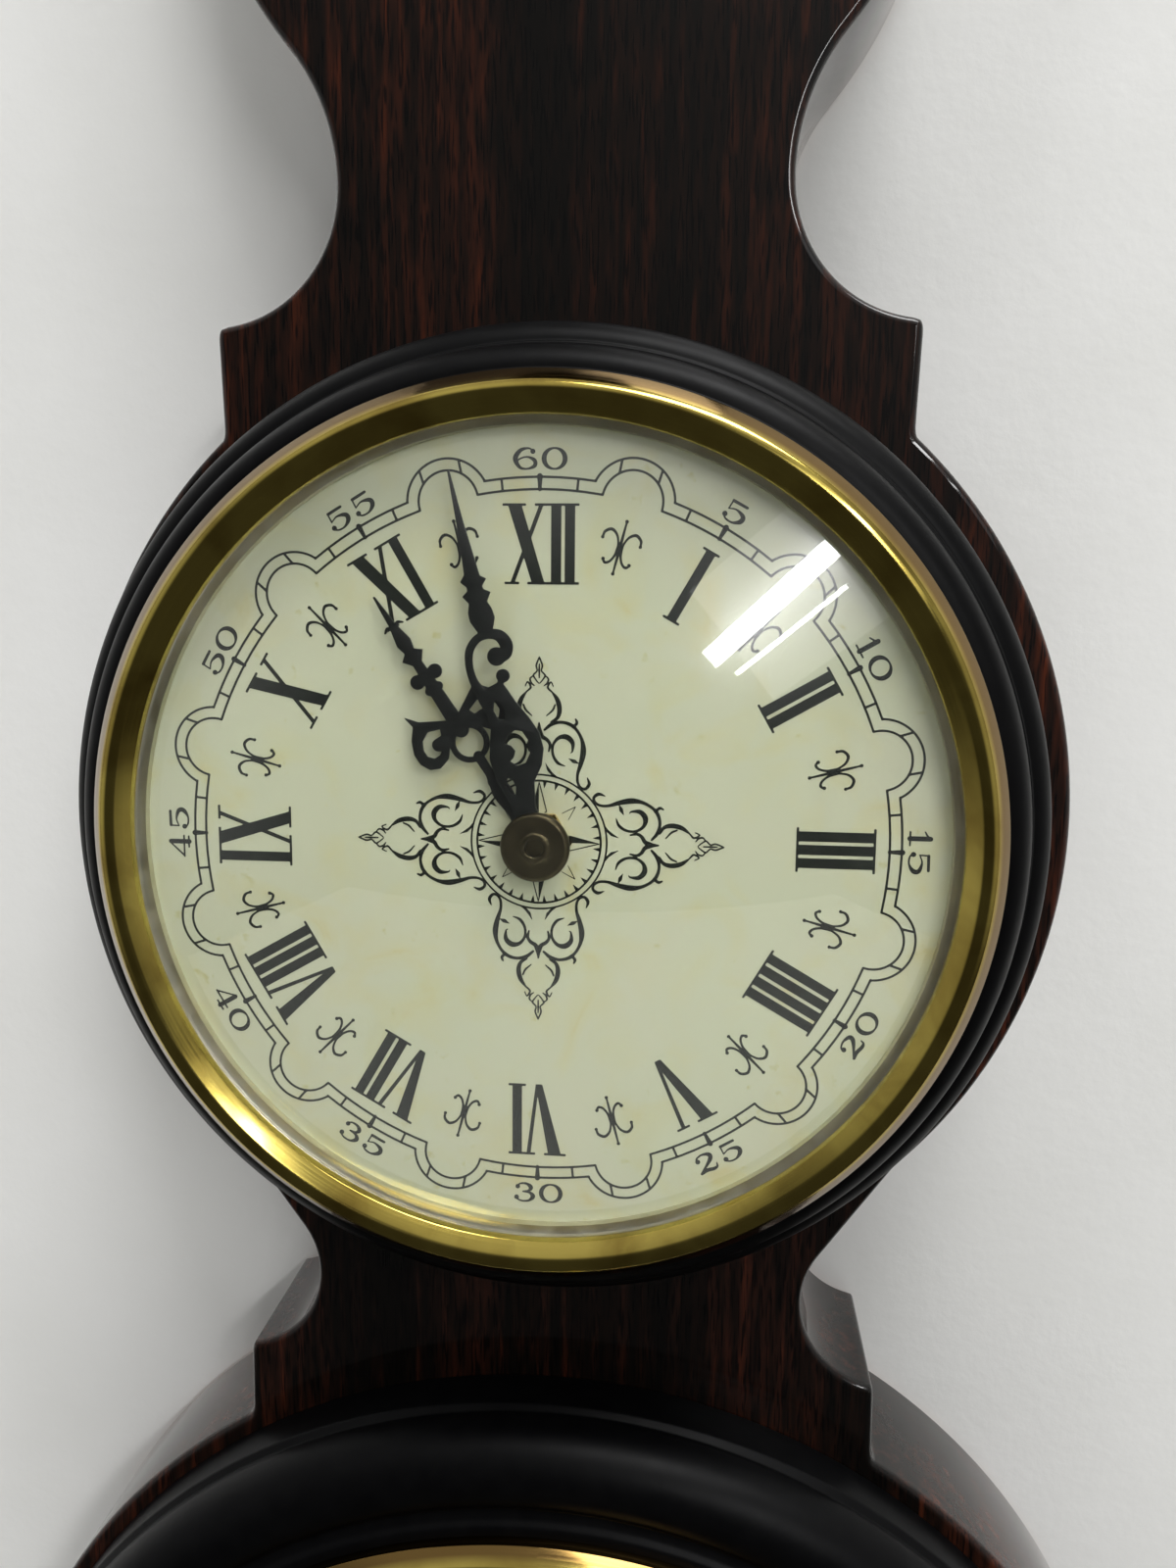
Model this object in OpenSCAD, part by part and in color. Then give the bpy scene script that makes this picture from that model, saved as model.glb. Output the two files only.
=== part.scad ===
// Wall weather station: a thermometer, a clock and an aneroid barometer on one shaped board.
// Millimetres. X runs to the right and Z up. The wall is the plane Y = 0, and the front faces -Y.
// The origin is the centre of the hanging hole, in the plane of the wall.

/* [Case board] */
// Thickness of the board
board_t = 33; // [30:0.5:38]
// Radius of the board behind the clock
clock_field_r = 93; // [91:0.5:97]
// Radius of the board behind the barometer
baro_field_r = 125; // [123:0.5:132]
// Distance from the clock's centre down to the barometer's centre
clock_to_baro = 236; // [232:1:250]
// Distance from the hanging hole down to the clock's centre
hanger_to_clock = 276; // [272:1:290]
// Distance from the hanging hole up to the top of the crown
crown_rise = 62; // [58:1:72]
// Radius of the arched crown
crown_r = 58; // [54:1:70]
// Half width of the bout that carries the thermometer
bout_half = 66; // [62:0.5:70]
// Half width across the square shoulders
shoulder_half = 63; // [60:0.5:66]
// Half width of the waist above the clock
upper_waist_half = 40.3; // [38:0.1:44]
// Half width of the waist below the clock
lower_waist_half = 48.5; // [46:0.1:52]
// Radius of the hole in the board behind the clock
clock_pocket_r = 50; // [46:0.5:56]
// Radius of the hole in the board behind the barometer
baro_pocket_r = 56; // [52:0.5:64]

/* [Clock] */
// Height of the clock's rim above the front of the board
clock_ring_h = 28.5; // [27:0.5:34]
// Outer radius of the brass clock bezel
clock_bezel_r = 75; // [74:0.1:76]
// Width of the brass clock bezel, from its outer edge to the glass
clock_bezel_w = 8.2; // [7.6:0.1:9]
// Width of the black clock ring outside the bezel
clock_ring_w = 10.1; // [8.5:0.1:12]
// Height of the bezel's crest above its outer edge
bezel_crest_h = 4.4; // [3.5:0.1:5]
// How far the clock dial lies behind the bezel's outer edge
dial_drop = 3.75; // [3.4:0.05:4.2]
// Rise of the domed clock glass above the bezel's inner lip
clock_glass_rise = 11; // [8:0.5:14]
// Thickness of both glasses
glass_t = 2; // [1.6:0.1:2.4]
// Thickness of the dials
dial_t = 0.8; // [0.5:0.1:1.2]
// Length of the minute hand
minute_hand_l = 61.4; // [58:0.1:63]
// Length of the hour hand
hour_hand_l = 47.5; // [44:0.1:50]
// Thickness of the hands
hand_t = 0.6; // [0.4:0.1:0.8]
// Radius of the domed nut on the minute hand
hand_nut_r = 5.8; // [5:0.1:6.5]
// Width and height of the movement case
movement_w = 58; // [56:0.5:62]
// Depth of the movement case
movement_t = 18; // [17.5:0.1:20]
// Radius of the rear setting knob
setting_knob_r = 7; // [5.5:0.5:9]
// Radius of the minute arbor
minute_arbor_r = 1.5; // [1.3:0.05:1.6]
// Distance from the minute arbor to the minute wheel's post
motion_centres = 12; // [12:0.1:12.6]
// Radius of the battery
battery_r = 7.1; // [6.9:0.05:7.2]
// Length of the battery
battery_l = 50; // [48:0.1:51]

/* [Barometer] */
// Height of the barometer's rim above the front of the board
baro_ring_h = 21.3; // [20.5:0.1:26]
// Outer radius of the brass barometer bezel
baro_bezel_r = 102.5; // [101.5:0.1:103]
// Width of the brass barometer bezel, from its outer edge to the glass
baro_bezel_w = 9; // [7.8:0.1:9.6]
// Width of the black barometer ring outside the bezel
baro_ring_w = 19; // [17:0.1:20.5]
// Rise of the domed barometer glass
baro_glass_rise = 14; // [11:0.5:17]
// Length of the pressure hand
pressure_hand_l = 68; // [60:1:75]
// Length of the set hand
set_hand_l = 62; // [50:1:66]
// Radius of the set knob
set_knob_r = 6.5; // [5:0.1:8]
// Radius of the set spindle
set_spindle_r = 1.5; // [1.2:0.1:2]
// Depth of the barometer movement behind the dial
baro_movement_t = 33; // [32.5:0.5:34]
// Radius of the dust can over the barometer movement
can_r = 45; // [43:0.5:48]
// Radius of the aneroid capsule
capsule_r = 17; // [14:0.5:19]
// Distance from the hand arbor to the sector's pivot
sector_centres = 32.5; // [32.5:0.1:33]

/* [Thermometer] */
// Distance from the clock's centre up to the thermometer's centre
clock_to_thermo = 240; // [236:1:246]
// Height of the black surround
surround_h = 156; // [150:1:162]
// Width of the black surround
surround_w = 54; // [50:0.5:60]
// Depth of the black surround
surround_t = 9.5; // [8.5:0.5:12]
// Width of the scale plate
plate_w = 34; // [32:0.5:36]
// Outer radius of the glass tube
tube_r = 2.6; // [2.4:0.1:3]
// Radius of the bulb
bulb_r = 4.2; // [3.8:0.1:4.4]
// Bare length of the scale plate beyond the tube's two ends
tube_room = 30; // [27:1:44]
// Share of the tube that the alcohol column fills
column_share = 0.57; // [0.2:0.01:0.85]

/* [Hanging] */
// Radius of the hanging hole
hanger_hole_r = 4; // [3:0.1:5]
// Thickness of the hanger plate and the wall pads
pad_t = 1.5; // [1.2:0.1:2.5]
// Radius of the wall pads
pad_r = 9; // [7:0.5:11]
// Height of the hanger plate
hanger_plate_h = 24; // [20:1:30]
// Distance between the hanger plate's screws
hanger_screw_gap = 44; // [40:1:50]

/* [Hidden] */
$fn = 96;

// Clearances: pieces that rest on each other, and shafts that run in a hole
seat = 0.15;
run = 0.06;

// Heights of the centres, with the hanging hole at 0
clock_z = -hanger_to_clock;
baro_z = clock_z - clock_to_baro;
thermo_z = clock_z + clock_to_thermo;

// Distances from the wall
board_front = pad_t + board_t;
clock_rim = board_front + clock_ring_h;
baro_rim = board_front + baro_ring_h;
clock_dial_front = clock_rim - dial_drop;
clock_dial_back = clock_dial_front - dial_t;
baro_dial_front = baro_rim - dial_drop;
baro_dial_back = baro_dial_front - dial_t;

// Radii that follow from the bezels
clock_sight_r = clock_bezel_r - clock_bezel_w;
clock_ring_r = clock_bezel_r + clock_ring_w;
baro_sight_r = baro_bezel_r - baro_bezel_w;
baro_ring_r = baro_bezel_r + baro_ring_w;

// Bezels and glasses: a flange on the ring, a crest, and a lip over the glass's edge
flange_t = 1;
skirt_t = 1.8;
lip_t = 0.8;
lip_rise = 1.6;
crest_in = 4.8;
glass_edge = 1.9;
spacer_w = 1.8;

// The hands' levels above the clock dial, and the angles at which they stand at rest
hour_level = 1.75;
minute_level = 3.35;
hour_rest = -33.8;
minute_rest = -13.2;
hand_hub_r = 4;

// Radii of the pipes and bushes round the minute arbor
pipe_bore_r = minute_arbor_r + run;
pipe_r = pipe_bore_r + 0.75;
bush_bore_r = pipe_r + run;
bush_r = bush_bore_r + 1.6;

// Motion work: two pairs of gears with the same centre distance
cannon_teeth = 12;
minute_wheel_teeth = 36;
minute_pinion_teeth = 10;
hour_wheel_teeth = 40;
cannon_module = 2 * motion_centres / (cannon_teeth + minute_wheel_teeth);
hour_module = 2 * motion_centres / (minute_pinion_teeth + hour_wheel_teeth);
wheel_t = 1.2;
post_r = 1;

// Movement case, measured back from the dial
case_gap = 0.25;
case_wall = 1.6;
movement_front = clock_dial_back - case_gap;
movement_back = movement_front - movement_t;
cover_t = 1.4;
battery_z = -movement_w / 2 + case_wall + 0.4 + battery_r;
battery_d = movement_back + 0.6 + battery_r;

// Barometer movement, measured forward from the back of its base plate
base_d = baro_dial_back - baro_movement_t;
base_t = 1.5;
base_r = can_r - 4.5;
capsule_t = 8;
post_h = 2;
bridge_level = base_t + 2 * post_h + capsule_t;
bridge_t = 1.2;
bridge_half = capsule_r + 5;
cock_level = 16.5;
sector_level = 19.3;
top_level = 25.5;
top_t = 1.2;
pillar_r = 2.2;
pillar_circle_r = base_r - 4;
arbor_r = 0.9;
pinion_teeth = 10;
sector_teeth = 120;
sector_span = 16;
sector_module = 2 * sector_centres / (pinion_teeth + sector_teeth);
pressure_rest = 18;
set_rest = -28;
screw_r = 2;
can_t = 0.8;
can_gap = 2.4;

// Thermometer, measured forward from the front of the board
plate_level = 4;
frame_w = 3;
frame_t = 1.6;
plate_h = surround_h - surround_w + plate_w;
tube_level = plate_level + dial_t + bulb_r + 0.3;
tube_l = plate_h - tube_room;
column_l = tube_l * column_share;
bulb_z = -tube_l / 2 - 1;
bore_r = 0.9;
plate_screw_y = plate_h / 2 - 6;
plate_screw_bite = 3;
clip_t = 0.8;
clip_w = 4;

// Screws: shank radius, head radius and head height
wood_screw_r = 2;
wood_head_r = 4;
wood_head_t = 2.5;
small_screw_r = 1.3;
small_head_r = 2.4;
clock_screw_circle = 72;
baro_screw_circle = (baro_ring_r + baro_seat_r()) / 2;
screw_bite = 12;
baro_screw_bite = baro_ring_h - dial_drop - 8;
surround_screw_bite = surround_t - 4;
surround_screw_y = surround_h / 2 - 4.5;

// Points along an arc, from angle a to angle b
function arc(cx, cy, r, a, b, n) =
    [for (i = [0 : n]) let (t = a + (b - a) * i / n) [cx + r * cos(t), cy + r * sin(t)]];
// The same points on the other side of the centre line, in reverse order
function mirrored(p) = [for (i = [len(p) - 1 : -1 : 0]) if (p[i].x > 0.001) [-p[i].x, p[i].y]];
function circle_height(r, x) = sqrt(r * r - x * x);
// Radius of the recess that holds each dial and bezel skirt
function clock_seat_r() = clock_sight_r + 4.5;
function baro_seat_r() = baro_sight_r + 4.5;

// Stand a drawing on height z, facing the viewer, starting at distance d from the wall
module at(z, d) {
    translate([0, -d, z]) rotate([90, 0, 0]) children();
}

module turned(z, d, profile) {
    at(z, d) rotate_extrude() polygon(profile);
}

module tube(r_out, r_in, h) {
    difference() {
        cylinder(r = r_out, h = h);
        translate([0, 0, -1]) cylinder(r = r_in, h = h + 2);
    }
}

module round_pattern(count, r, start) {
    for (i = [0 : count - 1]) rotate([0, 0, start + i * 360 / count]) translate([r, 0, 0]) children();
}

// A slot-shaped outline with round ends, standing upright
module oblong(w, h) {
    square([w, h - w], center = true);
    for (s = [-1, 1]) translate([0, s * (h - w) / 2]) circle(d = w);
}

// Outline of the board, right half, from the crown down; measured from the clock's centre
crown_top = hanger_to_clock + crown_rise;
cove_r = 20;
cove_x = bout_half + 2;
crown_end = acos((cove_x - cove_r - 0.5) / crown_r);
cove_z = crown_top - crown_r + crown_r * sin(crown_end) - 0.6;
bout_r = 74;
flare_r = 36;
upper_waist_z = 112.5;
neck_r = 24;
flare_dx = upper_waist_half + flare_r - bout_half + bout_r;
flare_dz = circle_height(bout_r + flare_r, flare_dx);
flare_end = atan2(flare_dz, flare_dx);
neck_end = acos((upper_waist_half + neck_r - shoulder_half + 2) / neck_r);
shoulder_z = upper_waist_z - neck_r * sin(neck_end);
clock_meet = atan2(circle_height(clock_field_r, shoulder_half - 0.6), shoulder_half - 0.6);
low_neck_r = 17;
low_waist_z = 140.5 - clock_to_baro;
low_neck_end = acos((lower_waist_half + low_neck_r - shoulder_half + 2) / low_neck_r);
low_shoulder_z = low_waist_z - low_neck_r * sin(low_neck_end);
baro_meet = atan2(circle_height(baro_field_r, shoulder_half + 0.5), shoulder_half + 0.5);
board_right = concat(
    arc(0, crown_top - crown_r, crown_r, 90, crown_end, 10),
    arc(cove_x, cove_z, cove_r, 180, 262, 8),
    [[bout_half, cove_z - cove_r]],
    arc(bout_half - bout_r, upper_waist_z + flare_dz, bout_r, 0, -flare_end, 10),
    arc(upper_waist_half + flare_r, upper_waist_z, flare_r, 180 - flare_end + 4, 180, 8),
    arc(upper_waist_half + neck_r, upper_waist_z, neck_r, 184, 180 + neck_end, 10),
    [[shoulder_half - 0.5, shoulder_z - 0.3], [shoulder_half, shoulder_z - 1]],
    arc(0, 0, clock_field_r, clock_meet, -45.6, 30),
    arc(lower_waist_half + low_neck_r, low_waist_z, low_neck_r, 146, 180 + low_neck_end, 12),
    [[shoulder_half - 0.3, low_shoulder_z - 0.3], [shoulder_half + 0.3, low_shoulder_z - 1]],
    arc(0, -clock_to_baro, baro_field_r, baro_meet, -90, 44)
);
board_outline = concat(board_right, mirrored(board_right));

module case_board() {
    color([0.20, 0.08, 0.05]) difference() {
        at(clock_z, pad_t) linear_extrude(board_t) polygon(board_outline);
        at(clock_z, 0) cylinder(r = clock_pocket_r, h = board_front + 1);
        at(baro_z, 0) cylinder(r = baro_pocket_r, h = board_front + 1);
        at(0, 0) cylinder(r = hanger_hole_r + 5, h = pad_t + 12);
        at(0, 0) for (s = [-1, 1]) translate([s * hanger_screw_gap / 2, 0, 0])
            cylinder(r = small_screw_r + run, h = pad_t + screw_bite + 1);
        at(clock_z, 0) round_pattern(4, clock_screw_circle, 45) screw_hole(screw_bite);
        at(baro_z, 0) round_pattern(6, baro_screw_circle, 30) screw_hole(baro_screw_bite);
        at(thermo_z, 0) for (s = [-1, 1]) translate([0, s * surround_screw_y, 0])
            screw_hole(surround_screw_bite);
    }
}

// Hole for a wood screw that enters from behind and bites this far beyond the board
module screw_hole(bite) {
    cylinder(r = wood_screw_r + run, h = board_front + bite + 0.5);
    cylinder(r = wood_head_r + run, h = pad_t + wood_head_t + run);
}

// Slotted wood screw that enters from behind; length is what it holds beyond the board
module wood_screw(bite) {
    difference() {
        union() {
            translate([0, 0, pad_t]) cylinder(r = wood_head_r, h = wood_head_t);
            translate([0, 0, pad_t]) cylinder(r = wood_screw_r, h = board_t + bite);
        }
        translate([-5, -0.4, pad_t - 1]) cube([10, 0.8, 1.8]);
    }
}

module hanger_plate() {
    color([0.72, 0.57, 0.28]) at(0, 0) difference() {
        linear_extrude(pad_t) rotate([0, 0, 90])
            oblong(hanger_plate_h, hanger_screw_gap + hanger_plate_h - 8);
        translate([0, 0, -1]) cylinder(r = hanger_hole_r, h = pad_t + 2);
        for (s = [-1, 1]) translate([s * hanger_screw_gap / 2, 0, -1])
            cylinder(r = small_head_r + run, h = pad_t + 2);
    }
}

module hanger_screws() {
    color([0.70, 0.70, 0.68]) at(0, 0) for (s = [-1, 1]) translate([s * hanger_screw_gap / 2, 0, 0])
        difference() {
            union() {
                cylinder(r = small_head_r, h = pad_t);
                cylinder(r = small_screw_r, h = pad_t + screw_bite);
            }
            translate([-3, -0.3, -1]) cube([6, 0.6, 1.6]);
        }
}

module wall_pads() {
    color([0.12, 0.12, 0.12]) at(baro_z, 0) for (a = [230, 310]) rotate([0, 0, a])
        translate([(baro_field_r + baro_pocket_r) / 2 + 4, 0, 0]) cylinder(r = pad_r, h = pad_t);
}

// Clock

clock_roll_r = 4.7;

module clock_ring() {
    step_r = clock_ring_r - clock_roll_r;
    inner_roll = step_r - 0.3 - clock_bezel_r - 0.3;
    top = clock_ring_h - flange_t;
    color([0.05, 0.05, 0.055]) difference() {
        turned(clock_z, board_front, concat(
            [[clock_seat_r() - 11, 0], [clock_ring_r, 0]],
            arc(step_r, top - 12.5, clock_roll_r, 0, 80, 8),
            [[step_r + 0.5, top - 7.4]],
            [[step_r - 0.3, top - 7.4]],
            arc(clock_bezel_r + 0.3, top - 0.5 - inner_roll, inner_roll, 0, 88, 8),
            [[clock_bezel_r + 0.3, top], [clock_seat_r(), top],
             [clock_seat_r(), clock_ring_h - dial_drop - dial_t],
             [clock_seat_r() - 11, clock_ring_h - dial_drop - dial_t]]
        ));
        at(clock_z, 0) round_pattern(4, clock_screw_circle, 45) screw_hole(screw_bite);
    }
}

module clock_ring_screws() {
    color([0.70, 0.70, 0.68]) at(clock_z, 0) round_pattern(4, clock_screw_circle, 45)
        wood_screw(screw_bite);
}

// Bezel section: skirt in the ring, flange on it, round outer slope, crest, slope to the lip
module bezel(z, rim, r_out, r_sight, seat_r) {
    crest_r = r_out - crest_in;
    turned(z, rim, concat(
        [[seat_r - 0.3, -dial_drop + seat], [seat_r - 0.3, -flange_t], [r_out, -flange_t]],
        arc(crest_r + 0.3, 0, r_out - crest_r - 0.3, 0, 78, 8),
        [[crest_r - 0.3, bezel_crest_h], [r_sight, lip_rise], [r_sight, lip_t],
         [seat_r - 0.3 - skirt_t, lip_t], [seat_r - 0.3 - skirt_t, -dial_drop + seat]]
    ));
}

// Domed glass: two concentric spheres over an edge that sits under the bezel's lip
function dome_r(r, rise) = (r * r + rise * rise) / (2 * rise);
function dome(R, r, a_n) = arc(0, 0, R, 90 - asin(r / R), 90, a_n);
module glass_cap(z, rim, r_sight, rise) {
    R = dome_r(r_sight, rise);
    centre = lip_t - seat - circle_height(R, r_sight);
    edge = r_sight + glass_edge;
    inner = R - glass_t;
    turned(z, rim, [for (p = concat(dome(R, edge, 24),
        [for (q = [24 : -1 : 0]) dome(inner, edge, 24)[q]])) [p.x, p.y + centre]]);
}
function apex(r_sight, rise) = lip_t - seat + rise;

// Ring between a dial and the edge of its glass
module spacer(z, dial_front, rim, r_sight, rise) {
    R = dome_r(r_sight, rise) - glass_t;
    edge = r_sight + glass_edge;
    under = lip_t - seat - circle_height(R + glass_t, r_sight) + circle_height(R, edge);
    at(z, dial_front) tube(edge, edge - spacer_w, rim + under - seat - dial_front);
}

module clock_bezel() {
    color([0.83, 0.66, 0.28]) bezel(clock_z, clock_rim, clock_bezel_r, clock_sight_r, clock_seat_r());
}

module clock_glass() {
    color([0.85, 0.92, 0.92, 0.3]) glass_cap(clock_z, clock_rim, clock_sight_r, clock_glass_rise);
}

module clock_spacer() {
    color([0.35, 0.27, 0.12])
        spacer(clock_z, clock_dial_front, clock_rim, clock_sight_r, clock_glass_rise);
}

module clock_dial() {
    color([0.80, 0.81, 0.70]) at(clock_z, clock_dial_back) tube(clock_seat_r() - 0.5, bush_r + 0.2, dial_t);
}

// Serpentine minute hand, pointing up, with its hub at the origin
module minute_hand_outline() {
    s = minute_hand_l / 61.4;
    scale(s) {
        polygon([[-1, 43], [1, 43], [0.25, 61.4], [-0.25, 61.4]]);
        polygon([[1.4, 40], [2.3, 42.8], [1.5, 43], [1.2, 45.4], [-1.2, 44.6], [-1.6, 42.6],
            [-2.3, 42.2], [-1.3, 40]]);
        polygon([[1.6, 37.5], [2.2, 40.2], [1, 41], [-1, 41], [-2.2, 40], [-1.3, 37.5]]);
        intersection() {
            translate([4.2, 38]) circle(r = 6.4);
            translate([-4.2, 38]) circle(r = 6.4);
        }
        translate([-0.6, 31.1]) ring_outline(4.6, 3.3);
        translate([0.9, 31.4]) circle(r = 1.9);
        translate([2.9, 31.4]) square([2, 1.4], center = true);
        for (t = [-1, 1]) translate([t * 1.7, 26.4]) circle(r = 1.3);
        polygon([[-1.6, 22], [1.6, 22], [1.2, 27.5], [-1.2, 27.5]]);
        translate([0, 17]) ring_outline(5.8, 4.3);
        translate([1.6, 18]) circle(r = 1.7);
        translate([3.6, 18]) square([2.4, 1.2], center = true);
        polygon([[-2, 0], [2, 0], [1.1, 12.2], [-1.1, 12.2]]);
    }
    circle(r = hand_hub_r);
}

module ring_outline(r_out, r_in) {
    difference() {
        circle(r = r_out);
        circle(r = r_in);
    }
}

// Spade-shaped hour hand, pointing up, with its hub at the origin
module hour_hand_outline() {
    s = hour_hand_l / 47.5;
    ear = [[5.2, 25.2], [9.1, 23.6], [8, 26.6], [7.3, 29.3], [5.7, 28]];
    scale(s) {
        polygon([[-0.7, 39], [0.7, 39], [0.25, 47.5], [-0.25, 47.5]]);
        polygon([[1.2, 32], [1.9, 35.6], [0.7, 36.2], [1.3, 38], [0, 41.5], [-1.3, 38], [-0.7, 36.2],
            [-1.9, 35.6], [-1.2, 32]]);
        for (t = [-1, 1]) {
            translate([t * 2, 32.4]) circle(r = 1.35);
            translate([t * 5.2, 22.4]) ring_outline(4.3, 2.5);
            translate([t * 4.9, 22.6]) circle(r = 1.3);
            translate([t * 3.2, 22.6]) square([3, 1], center = true);
        }
        polygon(ear);
        polygon(mirrored(ear));
        polygon([[-1.3, 14], [1.3, 14], [1.1, 33], [-1.1, 33]]);
        translate([0, 10]) ring_outline(4.9, 3.4);
        polygon([[-2, 0], [2, 0], [1.2, 6.2], [-1.2, 6.2]]);
    }
    circle(r = hand_hub_r);
}

// Hand blade with its hole
module hand(rest, hole_r) {
    rotate([0, 0, -rest]) linear_extrude(hand_t) difference() {
        children();
        circle(r = hole_r);
    }
}

module hour_hand() {
    color([0.05, 0.05, 0.05]) at(clock_z, clock_dial_front + hour_level)
        hand(hour_rest, pipe_r) hour_hand_outline();
}

module minute_hand() {
    color([0.05, 0.05, 0.05]) at(clock_z, clock_dial_front + minute_level)
        hand(minute_rest, minute_arbor_r) minute_hand_outline();
}

module hand_nut() {
    nut_d = clock_dial_front + minute_level + hand_t;
    color([0.28, 0.22, 0.13]) turned(clock_z, nut_d, concat(
        [[minute_arbor_r, 0], [hand_nut_r, 0]],
        arc(hand_nut_r - 0.8, 0.3, 0.8, 0, 75, 4),
        [[minute_arbor_r + 0.6, 1.5], [minute_arbor_r, 1.2]]
    ));
}

module bush_nut() {
    color([0.72, 0.57, 0.28]) at(clock_z, clock_dial_front) difference() {
        cylinder(r = bush_r + 1.6, h = 1.2, $fn = 6);
        translate([0, 0, -1]) cylinder(r = bush_r, h = 4);
    }
}

module centre_bush() {
    color([0.72, 0.57, 0.28]) at(clock_z, movement_front - case_wall) difference() {
        union() {
            cylinder(r = bush_r, h = case_wall + case_gap + dial_t + 1.4);
            translate([0, 0, -0.5]) cylinder(r = bush_r + 1.4, h = 0.5);
        }
        translate([0, 0, -1]) cylinder(r = bush_bore_r, h = 8);
    }
}

module movement_case() {
    inner = movement_w - 2 * case_wall;
    color([0.10, 0.10, 0.10]) at(clock_z, movement_back) difference() {
        translate([-movement_w / 2, -movement_w / 2, 0]) cube([movement_w, movement_w, movement_t]);
        translate([-inner / 2, -inner / 2, -1]) cube([inner, inner, movement_t - case_wall + 1]);
        cylinder(r = bush_r, h = movement_t + 1);
    }
}

// Rear cover with a window through which the battery is changed
module movement_cover() {
    window_h = 2 * battery_r + 1;
    color([0.14, 0.14, 0.14]) at(clock_z, movement_back - cover_t) difference() {
        translate([-movement_w / 2, -movement_w / 2, 0]) cube([movement_w, movement_w, cover_t]);
        translate([-battery_l / 2 - 1, battery_z - window_h / 2, -1]) cube([battery_l + 2, window_h, 4]);
        translate([0, 0, -1]) cylinder(r = minute_arbor_r + run, h = 4);
    }
}

// Sealed block with the step motor and its reduction train
module drive_unit() {
    block_h = movement_w / 2 - case_wall - 1 - battery_z - battery_r - 1;
    color([0.55, 0.55, 0.50]) at(clock_z, movement_back) difference() {
        translate([-20, battery_z + battery_r + 1, 0]) cube([40, block_h, 9.5]);
        translate([0, 0, -1]) cylinder(r = minute_arbor_r + run, h = 12);
    }
}

module battery() {
    color([0.62, 0.52, 0.30]) translate([-battery_l / 2, -battery_d, clock_z + battery_z])
        rotate([0, 90, 0]) union() {
            cylinder(r = battery_r, h = battery_l - 1.2);
            cylinder(r = 2.6, h = battery_l);
        }
}

// Leaf contacts on the side walls of the case, each with a dimple towards the battery
module battery_contacts() {
    wall_x = movement_w / 2 - case_wall;
    dimple = wall_x - battery_l / 2 - 0.3;
    color([0.78, 0.78, 0.76]) translate([0, -battery_d, clock_z + battery_z]) for (s = [-1, 1])
        rotate([0, s * 90, 0]) union() {
            translate([-5.5, -5, wall_x - 0.5]) cube([11, 10, 0.5]);
            translate([0, 0, wall_x - dimple]) cylinder(r = 2, h = dimple);
        }
}

// Gear outline with straight-flanked teeth; the first tooth points along X
module gear_outline(teeth, module_mm) {
    pitch = 360 / teeth;
    root = module_mm * (teeth / 2 - 1.15);
    tip = module_mm * (teeth / 2 + 0.85);
    polygon([for (i = [0 : teeth - 1]) for (k = [[-0.27, root], [-0.10, tip], [0.10, tip], [0.27, root]])
        let (a = (i + k[0]) * pitch) [k[1] * cos(a), k[1] * sin(a)]]);
}

cannon_d = movement_front - 5.8;

// Arbor from the rear cover to the hands, with the cannon pinion on it
module minute_arbor() {
    start = movement_back - cover_t - 4.5;
    finish = clock_dial_front + minute_level + hand_t + 0.8;
    color([0.75, 0.62, 0.35]) union() {
        at(clock_z, start) cylinder(r = minute_arbor_r, h = finish - start);
        at(clock_z, cannon_d) rotate([0, 0, 90]) linear_extrude(1.6)
            gear_outline(cannon_teeth, cannon_module);
    }
}

module minute_wheel() {
    color([0.83, 0.68, 0.36]) at(clock_z, cannon_d + 0.2) translate([0, motion_centres, 0]) difference() {
        union() {
            rotate([0, 0, -90 + 180 / minute_wheel_teeth]) linear_extrude(wheel_t)
                gear_outline(minute_wheel_teeth, cannon_module);
            rotate([0, 0, -90]) linear_extrude(wheel_t + 2.2)
                gear_outline(minute_pinion_teeth, hour_module);
        }
        translate([0, 0, -1]) cylinder(r = post_r + run, h = 8);
    }
}

module minute_wheel_post() {
    color([0.70, 0.70, 0.68]) at(clock_z, cannon_d - 0.6) translate([0, motion_centres, 0]) union() {
        cylinder(r = post_r, h = movement_front - case_wall - cannon_d + 0.6);
        cylinder(r = post_r + 0.8, h = 0.6);
    }
}

module hour_wheel() {
    wheel_d = cannon_d + 2.2;
    pipe_end = clock_dial_front + hour_level + hand_t + 0.4;
    color([0.83, 0.68, 0.36]) at(clock_z, wheel_d) difference() {
        union() {
            rotate([0, 0, 90 + 180 / hour_wheel_teeth]) linear_extrude(1)
                gear_outline(hour_wheel_teeth, hour_module);
            cylinder(r = pipe_r, h = pipe_end - wheel_d);
        }
        translate([0, 0, -1]) cylinder(r = pipe_bore_r, h = 16);
    }
}

module setting_knob() {
    color([0.12, 0.12, 0.12]) at(clock_z, movement_back - cover_t - 4.8) difference() {
        union() {
            linear_extrude(4) gear_outline(30, setting_knob_r / 15.85);
            cylinder(r = minute_arbor_r + 1.5, h = 4.5);
        }
        translate([0, 0, 0.3]) cylinder(r = minute_arbor_r, h = 8);
    }
}

// Barometer

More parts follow.
